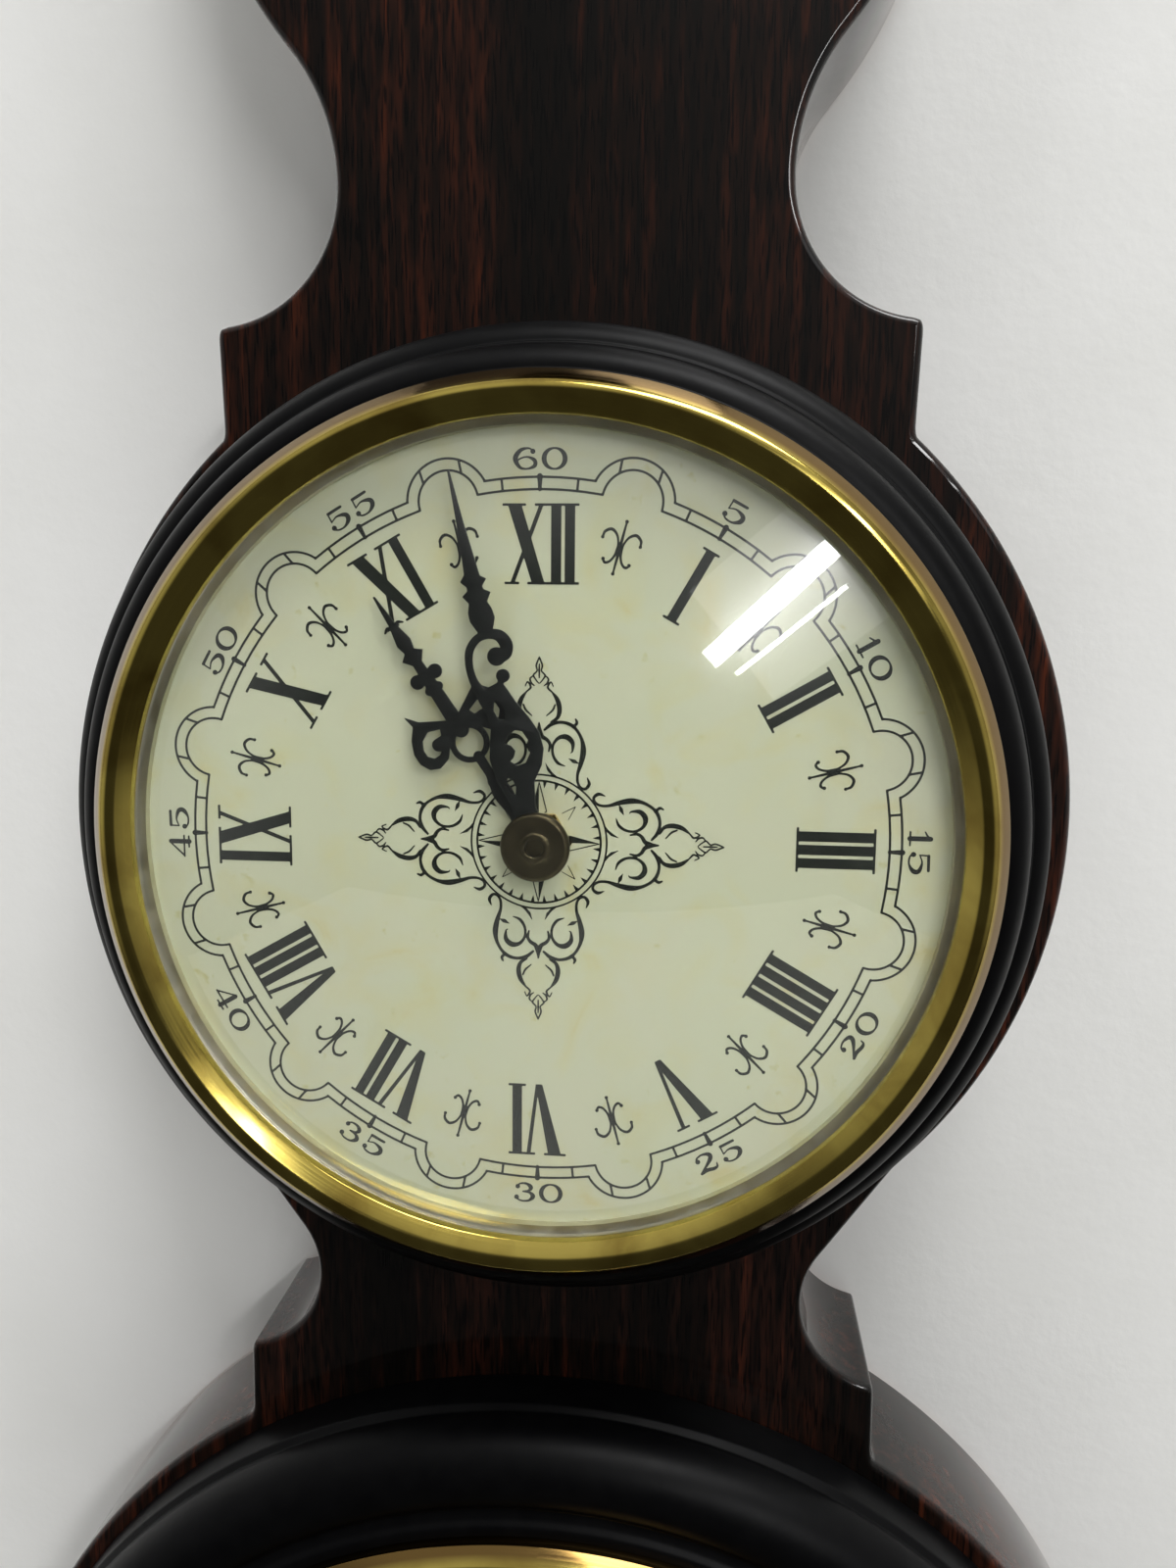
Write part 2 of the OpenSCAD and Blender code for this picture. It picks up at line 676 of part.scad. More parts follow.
module baro_ring() {
    top = baro_ring_h - flange_t;
    roll_r = (baro_ring_w - 1) / 2;
    roll_x = baro_ring_r - 1 - roll_r;
    ledge = baro_ring_h - dial_drop - dial_t;
    color([0.05, 0.05, 0.055]) difference() {
        turned(baro_z, board_front, concat(
            [[baro_seat_r() - 11, 0], [baro_ring_r, 0], [baro_ring_r, top - 11.8]],
            [[baro_ring_r - 1.2, top - 10.4]],
            arc(roll_x, top - roll_r, roll_r, -4, 112, 14),
            [[roll_x - 4.6, top - 1.6], [baro_bezel_r + 2.6, top - 1]],
            [[baro_bezel_r + 1.6, top - 0.2], [baro_bezel_r + 0.4, top], [baro_seat_r(), top]],
            [[baro_seat_r(), ledge], [baro_seat_r() - 11, ledge]]
        ));
        at(baro_z, 0) round_pattern(6, baro_screw_circle, 30) screw_hole(baro_screw_bite);
    }
}

module baro_ring_screws() {
    color([0.70, 0.70, 0.68]) at(baro_z, 0) round_pattern(6, baro_screw_circle, 30)
        wood_screw(baro_screw_bite);
}

module baro_bezel() {
    color([0.83, 0.66, 0.28]) bezel(baro_z, baro_rim, baro_bezel_r, baro_sight_r, baro_seat_r());
}

module baro_glass() {
    color([0.85, 0.92, 0.92, 0.3]) difference() {
        glass_cap(baro_z, baro_rim, baro_sight_r, baro_glass_rise);
        at(baro_z, baro_rim) cylinder(r = bush_hole_r, h = baro_glass_rise + 6);
    }
}

bush_hole_r = set_spindle_r + run + 1.2;
baro_apex = baro_rim + apex(baro_sight_r, baro_glass_rise);

module baro_dial() {
    color([0.80, 0.81, 0.70]) at(baro_z, baro_dial_back) tube(baro_seat_r() - 0.5, 3, dial_t);
}

module baro_spacer() {
    color([0.35, 0.27, 0.12])
        spacer(baro_z, baro_dial_front, baro_rim, baro_sight_r, baro_glass_rise);
}

// Threaded bush through the middle of the glass, with a flange in front and a nut behind
module glass_bush() {
    back = baro_apex - glass_t;
    color([0.83, 0.66, 0.28]) at(baro_z, back - 1.3) difference() {
        union() {
            cylinder(r = bush_hole_r - 0.05, h = glass_t + 2.6);
            cylinder(r = bush_hole_r + 1.6, h = 1.1);
            translate([0, 0, glass_t + 1.45]) cylinder(r = bush_hole_r + 2, h = 1);
        }
        translate([0, 0, -1]) cylinder(r = set_spindle_r + run, h = glass_t + 6);
    }
}

set_hand_d = baro_apex - 10.5;

module set_knob() {
    knob_d = baro_apex + 1.6;
    color([0.83, 0.66, 0.28]) union() {
        at(baro_z, set_hand_d) cylinder(r = set_spindle_r, h = knob_d - set_hand_d + 1);
        turned(baro_z, knob_d, concat(
            [[0, 0], [set_knob_r * 0.55, 0], [set_knob_r * 0.6, 1.6]],
            [[set_knob_r - 0.6, 2.2], [set_knob_r, 2.8], [set_knob_r, 6.6]],
            arc(set_knob_r - 1.2, 6.8, 1.2, 0, 80, 4),
            [[0, 8.4]]
        ));
    }
}

module set_hand() {
    s = set_hand_l / 62;
    color([0.83, 0.66, 0.28]) at(baro_z, set_hand_d) hand(set_rest, set_spindle_r) union() {
        circle(r = hand_hub_r);
        scale(s) {
            polygon([[-1.1, 0], [1.1, 0], [0.8, 44], [-0.8, 44]]);
            translate([0, 45.9]) ring_outline(3.2, 2);
            polygon([[-1.3, 48.5], [1.3, 48.5], [0.25, 62], [-0.25, 62]]);
            polygon([[-2.4, -20], [2.4, -20], [1.4, 0], [-1.4, 0]]);
        }
    }
}

pressure_hand_d = baro_dial_front + 2;

module pressure_hand() {
    s = pressure_hand_l / 68;
    color([0.05, 0.05, 0.05]) at(baro_z, pressure_hand_d) hand(pressure_rest, arbor_r) union() {
        circle(r = hand_hub_r + 1);
        scale(s) {
            polygon([[-1.4, 0], [1.4, 0], [0.9, 50], [-0.9, 50]]);
            polygon([[0.9, 44], [2.8, 49], [0.3, 68], [-0.3, 68], [-2.8, 49], [-0.9, 44]]);
            polygon([[-1.2, -14], [1.2, -14], [1.6, 0], [-1.6, 0]]);
            translate([0, -19]) ring_outline(5.6, 3.4);
        }
    }
}

// Hand arbor with its pinion, turned by the sector
module hand_arbor() {
    finish = pressure_hand_d - base_d + hand_t + 0.6;
    color([0.70, 0.70, 0.68]) at(baro_z, base_d) union() {
        translate([0, 0, cock_level + 0.1]) cylinder(r = arbor_r, h = finish - cock_level - 0.1);
        translate([0, 0, hairspring_level]) cylinder(r = hairspring_in - 0.3, h = 0.8);
        translate([0, 0, sector_level - 0.6]) rotate([0, 0, -90 - pressure_rest]) linear_extrude(2.6)
            gear_outline(pinion_teeth, sector_module);
    }
}

hairspring_turns = 4;
hairspring_in = 2.4;
hairspring_out = 9;
hairspring_w = 0.35;
hairspring_level = top_level - 2.7;
function spiral(r0, r1, turns, n) =
    [for (i = [0 : n]) let (a = 360 * turns * i / n, r = r0 + (r1 - r0) * i / n) [r * cos(a), r * sin(a)]];

module hairspring() {
    n = hairspring_turns * 20;
    inside = spiral(hairspring_in, hairspring_out, hairspring_turns, n);
    outside = spiral(hairspring_in + hairspring_w, hairspring_out + hairspring_w, hairspring_turns, n);
    color([0.45, 0.50, 0.62]) at(baro_z, base_d + hairspring_level) union() {
        linear_extrude(0.8) polygon(concat(inside, [for (i = [n : -1 : 0]) outside[i]]));
        translate([hairspring_out, -0.6, 0]) cube([1.4, 1.2, top_level - hairspring_level]);
    }
}

// Toothed sector: an arc of teeth, two arms and a hub on the pivot
module sector() {
    pitch = 360 / sector_teeth;
    half = sector_span / 2 * pitch;
    rim = sector_module * (sector_teeth / 2 - 1.15);
    window = rim * 0.86;
    reach = rim * 1.3;
    rest = pressure_rest * pinion_teeth / sector_teeth;
    color([0.83, 0.68, 0.36]) at(baro_z, base_d + sector_level) translate([0, -sector_centres, 0])
        rotate([0, 0, rest]) difference() {
            union() {
                linear_extrude(wheel_t) difference() {
                    intersection() {
                        rotate([0, 0, 90 + pitch / 2]) gear_outline(sector_teeth, sector_module);
                        polygon([[0, 0], [reach * sin(half), reach * cos(half)],
                            [-reach * sin(half), reach * cos(half)]]);
                    }
                    polygon([[0, 8], [window * sin(half - 7), window * cos(half - 7)],
                        [0, rim * 0.88], [-window * sin(half - 7), window * cos(half - 7)]]);
                }
                cylinder(r = 3, h = wheel_t + 1);
                translate([-1.2, -8, 0]) cube([2.4, 8, wheel_t]);
            }
            translate([0, 0, -1]) cylinder(r = post_r + run, h = 6);
        }
}

module sector_pivot() {
    color([0.70, 0.70, 0.68]) at(baro_z, base_d + base_t) translate([0, -sector_centres, 0]) union() {
        cylinder(r = post_r + 1, h = sector_level - base_t - 0.3);
        cylinder(r = post_r, h = top_level - base_t);
    }
}

cock_half = 14;

// Small bridge under the top plate that carries the lower end of the hand arbor
module arbor_cock() {
    color([0.83, 0.68, 0.36]) at(baro_z, base_d + cock_level) difference() {
        union() {
            translate([-cock_half, -3, 0]) cube([2 * cock_half, 6, 1]);
            for (s = [-1, 1]) translate([s * (cock_half - 0.75) - 0.75, -3, 0])
                cube([1.5, 6, top_level - cock_level]);
        }
        translate([0, 0, -1]) cylinder(r = arbor_r + run, h = 4);
    }
}

module top_plate() {
    color([0.83, 0.68, 0.36]) at(baro_z, base_d + top_level) difference() {
        union() {
            round_pattern(3, pillar_circle_r, 90) cylinder(r = 5, h = top_t);
            round_pattern(3, 0, 90) translate([0, -5, 0]) cube([pillar_circle_r, 10, top_t]);
            translate([-6, -sector_centres - 5, 0]) cube([12, sector_centres + 5, top_t]);
            cylinder(r = cock_half + 2, h = top_t);
        }
        translate([0, 0, -1]) cylinder(r = arbor_r + run, h = 4);
        translate([0, 0, -1]) round_pattern(3, pillar_circle_r, 90) cylinder(r = pillar_r, h = 4);
    }
}

module pillars() {
    color([0.72, 0.57, 0.28]) at(baro_z, base_d + base_t) round_pattern(3, pillar_circle_r, 90)
        cylinder(r = pillar_r, h = baro_movement_t - base_t);
}

module base_plate() {
    color([0.83, 0.68, 0.36]) at(baro_z, base_d) difference() {
        cylinder(r = base_r, h = base_t);
        translate([bridge_half - 1, 0, -1]) cylinder(r = screw_r + run, h = 4);
    }
}

// Corrugated capsule that swells and shrinks with the pressure
module capsule() {
    waves = 5;
    rim = capsule_r - 1.2;
    wave = [for (i = [0 : 30]) [rim * i / 30, 0.5 * cos(360 * waves * i / 30) - 0.7]];
    face = [for (p = wave) [p.x, capsule_t + p.y]];
    back = [for (i = [30 : -1 : 0]) [wave[i].x, -wave[i].y]];
    color([0.75, 0.75, 0.72]) turned(baro_z, base_d + base_t + post_h, concat(
        face, [[rim, capsule_t / 2 + 0.5], [capsule_r, capsule_t / 2 + 0.5]],
        [[capsule_r, capsule_t / 2 - 0.5], [rim, capsule_t / 2 - 0.5]], back));
}

module capsule_post() {
    color([0.70, 0.70, 0.68]) at(baro_z, base_d + base_t) union() {
        cylinder(r = 3, h = post_h);
        translate([0, 0, post_h + capsule_t]) cylinder(r = 3, h = post_h);
    }
}

// Steel spring bridge that pulls against the capsule
module bridge_spring() {
    lift = 0.6;
    color([0.45, 0.47, 0.50]) at(baro_z, base_d) union() {
        translate([-bridge_half, -5, bridge_level]) cube([2 * bridge_half, 10, bridge_t]);
        translate([-bridge_half, -5, base_t]) cube([2, 10, bridge_level + bridge_t - base_t]);
        translate([bridge_half - 2, -5, base_t + lift])
            cube([2, 10, bridge_level + bridge_t - base_t - lift]);
    }
}

module pull_lever() {
    color([0.70, 0.70, 0.68]) at(baro_z, base_d + bridge_level + bridge_t) union() {
        translate([-1.8, -27, 0]) cube([3.6, 29, 0.8]);
        translate([0, -25.5, 0]) cylinder(r = 0.8, h = sector_level - bridge_level - bridge_t - 0.5);
    }
}

// Slotted screw, reached from behind, that tilts the spring bridge to set the hand
module adjusting_screw() {
    color([0.72, 0.57, 0.28]) at(baro_z, base_d - can_gap + 0.2) translate([bridge_half - 1, 0, 0])
        difference() {
            union() {
                cylinder(r = screw_r, h = can_gap + base_t + 0.3);
                cylinder(r = screw_r + 1.2, h = can_gap - 0.4);
            }
            translate([-5, -0.4, -1]) cube([10, 0.8, 1.8]);
        }
}

module dust_can() {
    depth = baro_movement_t + can_gap + can_t;
    color([0.62, 0.60, 0.52]) at(baro_z, baro_dial_back - depth) difference() {
        union() {
            cylinder(r = can_r, h = depth);
            translate([0, 0, depth - can_t]) cylinder(r = can_r + 4, h = can_t);
        }
        translate([0, 0, can_t]) cylinder(r = can_r - can_t, h = depth);
        translate([bridge_half - 1, 0, -1]) cylinder(r = screw_r + 2.2, h = 4);
    }
}

// Thermometer

module thermo_surround() {
    mid_w = surround_w - 6;
    grow = surround_h - surround_w;
    color([0.05, 0.05, 0.055]) difference() {
        at(thermo_z, board_front) union() {
            linear_extrude(surround_t - 4) oblong(surround_w, surround_h);
            linear_extrude(surround_t - 1.5) oblong(surround_w - 3, surround_h - 3);
            linear_extrude(surround_t) oblong(mid_w, mid_w + grow);
        }
        at(thermo_z, board_front + plate_level) linear_extrude(surround_t)
            oblong(plate_w + 0.4, plate_w + 0.4 + grow);
        at(thermo_z, board_front + plate_level - plate_screw_bite - 0.3) for (s = [-1, 1])
            translate([0, s * plate_screw_y, 0]) cylinder(r = small_screw_r + run, h = plate_screw_bite + 1);
        at(thermo_z, 0) for (s = [-1, 1]) translate([0, s * surround_screw_y, 0])
            screw_hole(surround_screw_bite);
    }
}

module surround_screws() {
    color([0.70, 0.70, 0.68]) at(thermo_z, 0) for (s = [-1, 1]) translate([0, s * surround_screw_y, 0])
        wood_screw(surround_screw_bite);
}

module thermo_frame() {
    grow = surround_h - surround_w;
    w = plate_w + 2 * frame_w;
    color([0.83, 0.66, 0.28]) at(thermo_z, board_front + surround_t) linear_extrude(frame_t) difference() {
        oblong(w, w + grow);
        oblong(plate_w - 1, plate_w - 1 + grow);
    }
}

module scale_plate() {
    color([0.80, 0.81, 0.70]) at(thermo_z, board_front + plate_level) linear_extrude(dial_t) difference() {
        oblong(plate_w, plate_h);
        for (s = [-1, 1]) translate([0, s * plate_screw_y]) circle(r = small_screw_r + run);
    }
}

module plate_screws() {
    color([0.72, 0.57, 0.28]) at(thermo_z, board_front + plate_level + dial_t)
        for (s = [-1, 1]) translate([0, s * plate_screw_y, 0]) union() {
            cylinder(r1 = small_head_r, r2 = 1.6, h = 1.2);
            translate([0, 0, -dial_t - plate_screw_bite])
                cylinder(r = small_screw_r, h = dial_t + plate_screw_bite + 0.5);
        }
}

// Glass tube with its bulb, closed at the top
module thermo_tube() {
    color([0.85, 0.92, 0.92, 0.35]) translate([0, -board_front - tube_level, thermo_z + bulb_z])
        difference() {
            union() {
                sphere(r = bulb_r);
                cylinder(r = tube_r, h = tube_l);
            }
            sphere(r = bulb_r - 0.9);
            cylinder(r = bore_r, h = tube_l - 3);
        }
}

module alcohol_column() {
    color([0.75, 0.08, 0.06]) translate([0, -board_front - tube_level, thermo_z + bulb_z]) union() {
        sphere(r = bulb_r - 1);
        cylinder(r = bore_r - 0.1, h = column_l);
    }
}

clip_heights = [0.14, 0.9];

// Brass straps that hold the tube on the plate
module tube_clips() {
    stand = tube_level - plate_level - dial_t;
    color([0.83, 0.66, 0.28]) for (k = clip_heights)
        translate([0, -board_front - tube_level, thermo_z + bulb_z + k * tube_l]) linear_extrude(clip_w) {
            difference() {
                union() {
                    circle(r = tube_r + clip_t);
                    translate([-tube_r - clip_t, 0]) square([2 * (tube_r + clip_t), stand]);
                }
                circle(r = tube_r + seat);
                translate([-tube_r - seat, 0]) square([2 * (tube_r + seat), stand + 1]);
            }
            for (s = [-1, 1]) translate([s * (tube_r + clip_t / 2 + clip_w / 2), stand - clip_t / 2])
                square([clip_w, clip_t], center = true);
        }
}

case_board();
hanger_plate();
hanger_screws();
wall_pads();
clock_ring();
clock_ring_screws();
clock_bezel();
clock_glass();
clock_dial();
clock_spacer();
hour_hand();
minute_hand();
hand_nut();
bush_nut();
centre_bush();
movement_case();
movement_cover();
drive_unit();
battery();
battery_contacts();
minute_arbor();
minute_wheel();
minute_wheel_post();
hour_wheel();
setting_knob();
baro_ring();
baro_ring_screws();
baro_bezel();
baro_glass();
baro_dial();
baro_spacer();
glass_bush();
set_knob();
set_hand();
pressure_hand();
hand_arbor();
hairspring();
sector();
sector_pivot();
arbor_cock();
top_plate();
pillars();
base_plate();
capsule();
capsule_post();
bridge_spring();
pull_lever();
adjusting_screw();
dust_can();
thermo_surround();
surround_screws();
thermo_frame();
scale_plate();
plate_screws();
thermo_tube();
alcohol_column();
tube_clips();
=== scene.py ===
# %% [markdown]
# # A wall weather station, dressed in Blender
# A clock, a barometer and a thermometer share one shaped mahogany board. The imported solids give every
# place and size. This script gives the pieces their real curves, prints and finishes, and lights them.

# %% Load the frame
from math import acos, asin, cos, degrees, dist, pi, radians, sin, sqrt
import bpy
import bmesh
import numpy as np
from mathutils import Matrix, Vector


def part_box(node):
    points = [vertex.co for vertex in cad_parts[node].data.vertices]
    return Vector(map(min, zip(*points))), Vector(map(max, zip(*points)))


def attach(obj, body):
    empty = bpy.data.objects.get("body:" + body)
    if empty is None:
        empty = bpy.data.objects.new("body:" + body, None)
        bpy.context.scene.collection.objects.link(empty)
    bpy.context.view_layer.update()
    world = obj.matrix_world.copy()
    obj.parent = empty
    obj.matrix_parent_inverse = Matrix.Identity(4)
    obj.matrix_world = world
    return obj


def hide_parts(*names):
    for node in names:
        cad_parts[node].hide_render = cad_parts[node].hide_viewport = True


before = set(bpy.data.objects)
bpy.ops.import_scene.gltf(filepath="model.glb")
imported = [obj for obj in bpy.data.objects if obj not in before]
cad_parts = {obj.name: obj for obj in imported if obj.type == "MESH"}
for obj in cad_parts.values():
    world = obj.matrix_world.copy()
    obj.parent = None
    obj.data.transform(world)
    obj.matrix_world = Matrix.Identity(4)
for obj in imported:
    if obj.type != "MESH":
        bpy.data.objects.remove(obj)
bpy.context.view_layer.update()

# %% [markdown]
# ## Named sizes
# The solids are drawn in millimetres: x to the right, z up, and "depth" outwards from the wall. The clock,
# barometer and thermometer each have a centre height. A point becomes metres in one place only. Each finished
# piece is given its body and, where it stands in for a solid, that solid is hidden.

# %% Sizes in millimetres
MM = 0.001
CLOCK_Z, BARO_Z, THERMO_Z = -276.0, -512.0, -36.0
BOARD_BACK, BOARD_FRONT = 1.5, 34.5
# Radii of each bezel's opening, seat and outside, and the depth at which its ring carries it.
CLOCK_SIGHT, CLOCK_SEAT, CLOCK_BEZEL, CLOCK_RIM = 66.8, 71.3, 75.0, 63.0
BARO_SIGHT, BARO_SEAT, BARO_BEZEL, BARO_RIM = 93.5, 98.0, 102.5, 55.8
# Depth of the dials' faces, and the angles in degrees at which the clock's hands rest.
CLOCK_DIAL, BARO_DIAL = 59.25, 52.05
HOUR_REST, MINUTE_REST = -33.8, -13.2
# Thickness of the print and of the hands, and the bevel along the hands' edges.
FILM, STEEL, HAND_BEVEL = 0.04, 0.6, 0.1


def place(x, up, depth, z):
    return (x * MM, -depth * MM, (z + up) * MM)


def arc(cx, cy, r, a, b, n=24):
    angles = np.radians(np.linspace(a, b, n + 1))
    return [(cx + r * cos(t), cy + r * sin(t)) for t in angles]


def linked(name, data):
    """An object with this mesh, lamp, camera or curve, in the scene."""
    made = bpy.data.objects.new(name, data)
    bpy.context.scene.collection.objects.link(made)
    return made


def dress(made, body, old=None):
    """Sets the body a piece rides on, and hides the solid it stands in for."""
    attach(made, body)
    if old:
        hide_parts(old)


# %% [markdown]
# ## The camera
# The photograph is a close, handheld view: 0.19 m from the dial, from a little right of it and above it.
# The lens sees 1600 pixels of height over a 36 mm side, so 27 mm is a focal length of 1200 pixels.

# %% Camera
turn = Vector((0.1461, 0.0978, 0.0166))
upright = Matrix(((1, 0, 0), (0, 0, -1), (0, 1, 0)))
rows = Matrix.Rotation(turn.length, 3, turn.normalized()) @ upright
camera = linked("camera", bpy.data.cameras.new("camera"))
camera.matrix_world = Matrix.Translation((0.0267, -0.2501, -0.2378)) @ Matrix(
    (rows[0], -rows[1], -rows[2])).transposed().to_4x4()
camera.data.lens, camera.data.sensor_width, camera.data.clip_start = 27.0, 36.0, 0.01
bpy.context.scene.camera = camera
bpy.context.scene.view_settings.view_transform = "Standard"
print("camera at", [round(v, 4) for v in camera.location])

# %% [markdown]
# ## Helpers for node trees
# Colours are written as the hex values a painter would pick and turned to linear light once. Every node is
# added by one function: settings by name, inputs as values or as the sockets to link.


# %% Colour and node helpers
def srgb(code):
    parts = [int(code[i:i + 2], 16) / 255 for i in (1, 3, 5)]
    return [*(c / 12.92 if c <= 0.04045 else ((c + 0.055) / 1.055) ** 2.4 for c in parts), 1.0]


def node(tree, kind, inputs=(), stops=(), **settings):
    """Adds a node and gives its first live output back."""
    made = tree.nodes.new(kind)
    for key, value in settings.items():
        setattr(made, key, value)
    for key, value in dict(inputs).items():
        socket = next(s for s in made.inputs if s.name == key and s.enabled)
        if isinstance(value, bpy.types.NodeSocket):
            tree.links.new(value, socket)
        else:
            socket.default_value = value
    for i, (at, colour) in enumerate(stops):
        ends = made.color_ramp.elements
        stop = ends[i] if i < len(ends) else ends.new(at)
        stop.position, stop.color = at, srgb(colour)
    return next((s for s in made.outputs if s.enabled), made)


def finish(name, **sockets):
    """Starts a finish: its material, node tree, shader and the object's own coordinates."""
    material = bpy.data.materials.new(name)
    material.use_nodes = True
    tree = material.node_tree
    shader = tree.nodes["Principled BSDF"]
    for key, value in sockets.items():
        shader.inputs[key.replace("_", " ")].default_value = value
    coords = tree.nodes.new("ShaderNodeTexCoord").outputs
    return material, tree, shader, coords


def noise(tree, where, per_metre, detail=2.0, warp=0.0):
    """Cloudy values whose spots are as fine as the counts per metre say, along x, y and z."""
    sized = node(tree, "ShaderNodeMapping", {"Vector": where, "Scale": per_metre})
    return node(tree, "ShaderNodeTexNoise",
                {"Vector": sized, "Scale": 1.0, "Detail": detail, "Distortion": warp})


def tint(tree, shader, value, stops):
    """Colours the finish by a value: each stop is a place from 0 to 1 and a colour."""
    tree.links.new(node(tree, "ShaderNodeValToRGB", {"Fac": value}, stops=stops), shader.inputs["Base Color"])


def sheen(tree, shader, value, smooth, rough, low=0.0, high=1.0):
    """Lets the roughness follow a value between its low and high."""
    spread = {"Value": value, "From Min": low, "From Max": high, "To Min": smooth, "To Max": rough}
    tree.links.new(node(tree, "ShaderNodeMapRange", spread), shader.inputs["Roughness"])


def times(tree, one, two):
    """Two colours multiplied."""
    return node(tree, "ShaderNodeMix", {"Factor": 1.0, "A": one, "B": two}, data_type="RGBA",
                blend_type="MULTIPLY")


def seen_beyond(tree, shader, where):
    """Lets light pass straight through where the value is one."""
    clear = node(tree, "ShaderNodeBsdfTransparent")
    mix = tree.nodes.new("ShaderNodeMixShader")
    for value, socket in ((where, 0), (shader.outputs[0], 1), (clear, 2)):
        tree.links.new(value, mix.inputs[socket])
    tree.links.new(mix.outputs[0], tree.nodes["Material Output"].inputs["Surface"])


def relief(tree, shader, height, strength, distance):
    bump = node(tree, "ShaderNodeBump", {"Height": height, "Strength": strength, "Distance": distance})
    tree.links.new(bump, shader.inputs["Normal"])


# %% [markdown]
# ## Mahogany veneer under gloss lacquer
# The board is sliced mahogany veneer, stained almost black-red and sprayed with clear gloss lacquer. The eye
# gets long upright streaks 1 to 3 mm wide, broad darker ribbons, short open pores and a hard shine on top.
# Noise stretched along the grain gives all three, and the clear coat is the shader's own.

# %% Mahogany
mahogany, tree, shader, coords = finish(
    "mahogany_veneer_gloss_lacquer", Roughness=0.5, Specular_IOR_Level=0.1, Coat_Weight=1.0,
    Coat_Roughness=0.045, Coat_IOR=1.38)
here = coords["Object"]
broad = noise(tree, here, (48, 48, 2.0), 3.0, 0.3)
narrow = noise(tree, here, (430, 430, 11), 4.0, 0.3)
dashes = noise(tree, here, (700, 700, 80), 3.0, 0.3)
lines = node(tree, "ShaderNodeMix", {"Factor": 0.45, "A": narrow, "B": dashes})
both = node(tree, "ShaderNodeMix", {"Factor": 0.66, "A": broad, "B": lines})
wood = node(tree, "ShaderNodeValToRGB", {"Fac": both},
            stops=[(0.42, "#090604"), (0.66, "#4c200e"), (0.50, "#170b06"), (0.57, "#2d140a")])
pores = node(tree, "ShaderNodeValToRGB", {"Fac": noise(tree, here, (2400, 2400, 160), 1.0)},
             stops=[(0.37, "#707070"), (0.47, "#ffffff")])
tree.links.new(times(tree, wood, pores), shader.inputs["Base Color"])
relief(tree, shader, noise(tree, here, (300, 300, 40), 1.0), 0.05, 0.0004)

# %% [markdown]
# The back of the board is never polished: bare wood with the saw's cross lines, dusty and matt.

# %% Sawn mahogany
sawn_wood, tree, shader, coords = finish("mahogany_sawn_back", Roughness=0.8)
here = coords["Object"]
tint(tree, shader, noise(tree, here, (300, 300, 6), 5.0, 0.2),
     [(0.3, "#2c1710"), (0.72, "#6b4530"), (0.5, "#4a2b1d")])
relief(tree, shader, noise(tree, here, (60, 60, 900), 2.0), 0.35, 0.0003)

# %% [markdown]
# ## Satin black lacquer
# The turned rings and the thermometer's surround are wood sprayed with satin black. It hides the grain, and
# shows only a soft spread highlight with the faint orange peel of spraying, spots about 1.5 mm across.

# %% Satin black
satin_black, tree, shader, coords = finish("black_lacquer_satin", IOR=1.45, Specular_IOR_Level=0.12)
here = coords["Object"]
tint(tree, shader, noise(tree, here, (260, 260, 260), 3.0), [(0.3, "#040405"), (0.7, "#070708")])
sheen(tree, shader, noise(tree, here, (120, 120, 120), 4.0), 0.34, 0.48)
relief(tree, shader, noise(tree, here, (650, 650, 650), 1.0), 0.06, 0.0003)

# %% [markdown]
# ## Metals
# Most other parts are metal: drawn, turned, rolled or plated. They differ in colour, in how dull the age has
# made them and in the direction of their fine lines, so one recipe makes them from a short list. The three
# counts are lines per metre along x, y and z: equal counts make an even cast or plated skin. Turned brass
# counts its lines per millimetre instead, along the rim and along the section.


# %% Metal recipe
def metal(name, bright, dull, smooth, rough, lines, depth=0.1, on="Object"):
    made, tree, shader, coords = finish(name, Metallic=1.0)
    tint(tree, shader, noise(tree, coords["Object"], (70, 70, 70), 5.0, 0.5), [(0.42, bright), (0.74, dull)])
    marks = noise(tree, coords[on], lines, 3.0)
    sheen(tree, shader, marks, smooth, rough, 0.3, 0.7)
    relief(tree, shader, marks, depth, 0.00006)
    return made


# Turned and lacquered brass: warm gold, nearly a mirror, with lathe lines that follow the rim.
turned_brass = metal("brass_turned_lacquered", "#cbb65d", "#98803c", 0.06, 0.15, (0.004, 2.2, 1), 0.05, "UV")
# The bezels are the same brass, but the steep outside is painted brown: a painted reflection of the dark ring
# beside it.
# The painted brown fades from 11 to 13 mm along the section, where the steep outside turns into the crest.
bezel_brass = metal("brass_bezel_painted_reflection_outside", "#cbb65d", "#98803c", 0.08, 0.20, (0.004, 2.2, 1), 0.05, "UV")
tree = bezel_brass.node_tree
gold = tree.nodes["Principled BSDF"].inputs["Base Color"]
along = node(tree, "ShaderNodeSeparateXYZ", {"Vector": tree.nodes.new("ShaderNodeUVMap").outputs["UV"]})
outside = node(tree, "ShaderNodeMapRange", {"Value": along.node.outputs["Y"], "From Min": 11.0,
                                            "From Max": 13.0, "To Min": 1.0, "To Max": 0.0})
# Painted reflection: brown on the bezel's outside stands in for the dark ring mirrored there.
painted_ring_reflection = node(tree, "ShaderNodeMix",
              {"Factor": outside, "A": gold.links[0].from_socket, "B": srgb("#7b6238")}, data_type="RGBA")
tree.links.new(painted_ring_reflection, gold)
# Pressed brass with worn lacquer: the same gold, a little browner.
pressed_brass = metal("brass_pressed_lacquered", "#c0a24c", "#97793a", 0.18, 0.34, (900, 900, 900))
# Rolled clock brass with long rolling lines.
rolled_brass = metal("brass_rolled", "#c8a25a", "#97733a", 0.22, 0.40, (2500, 2500, 60))
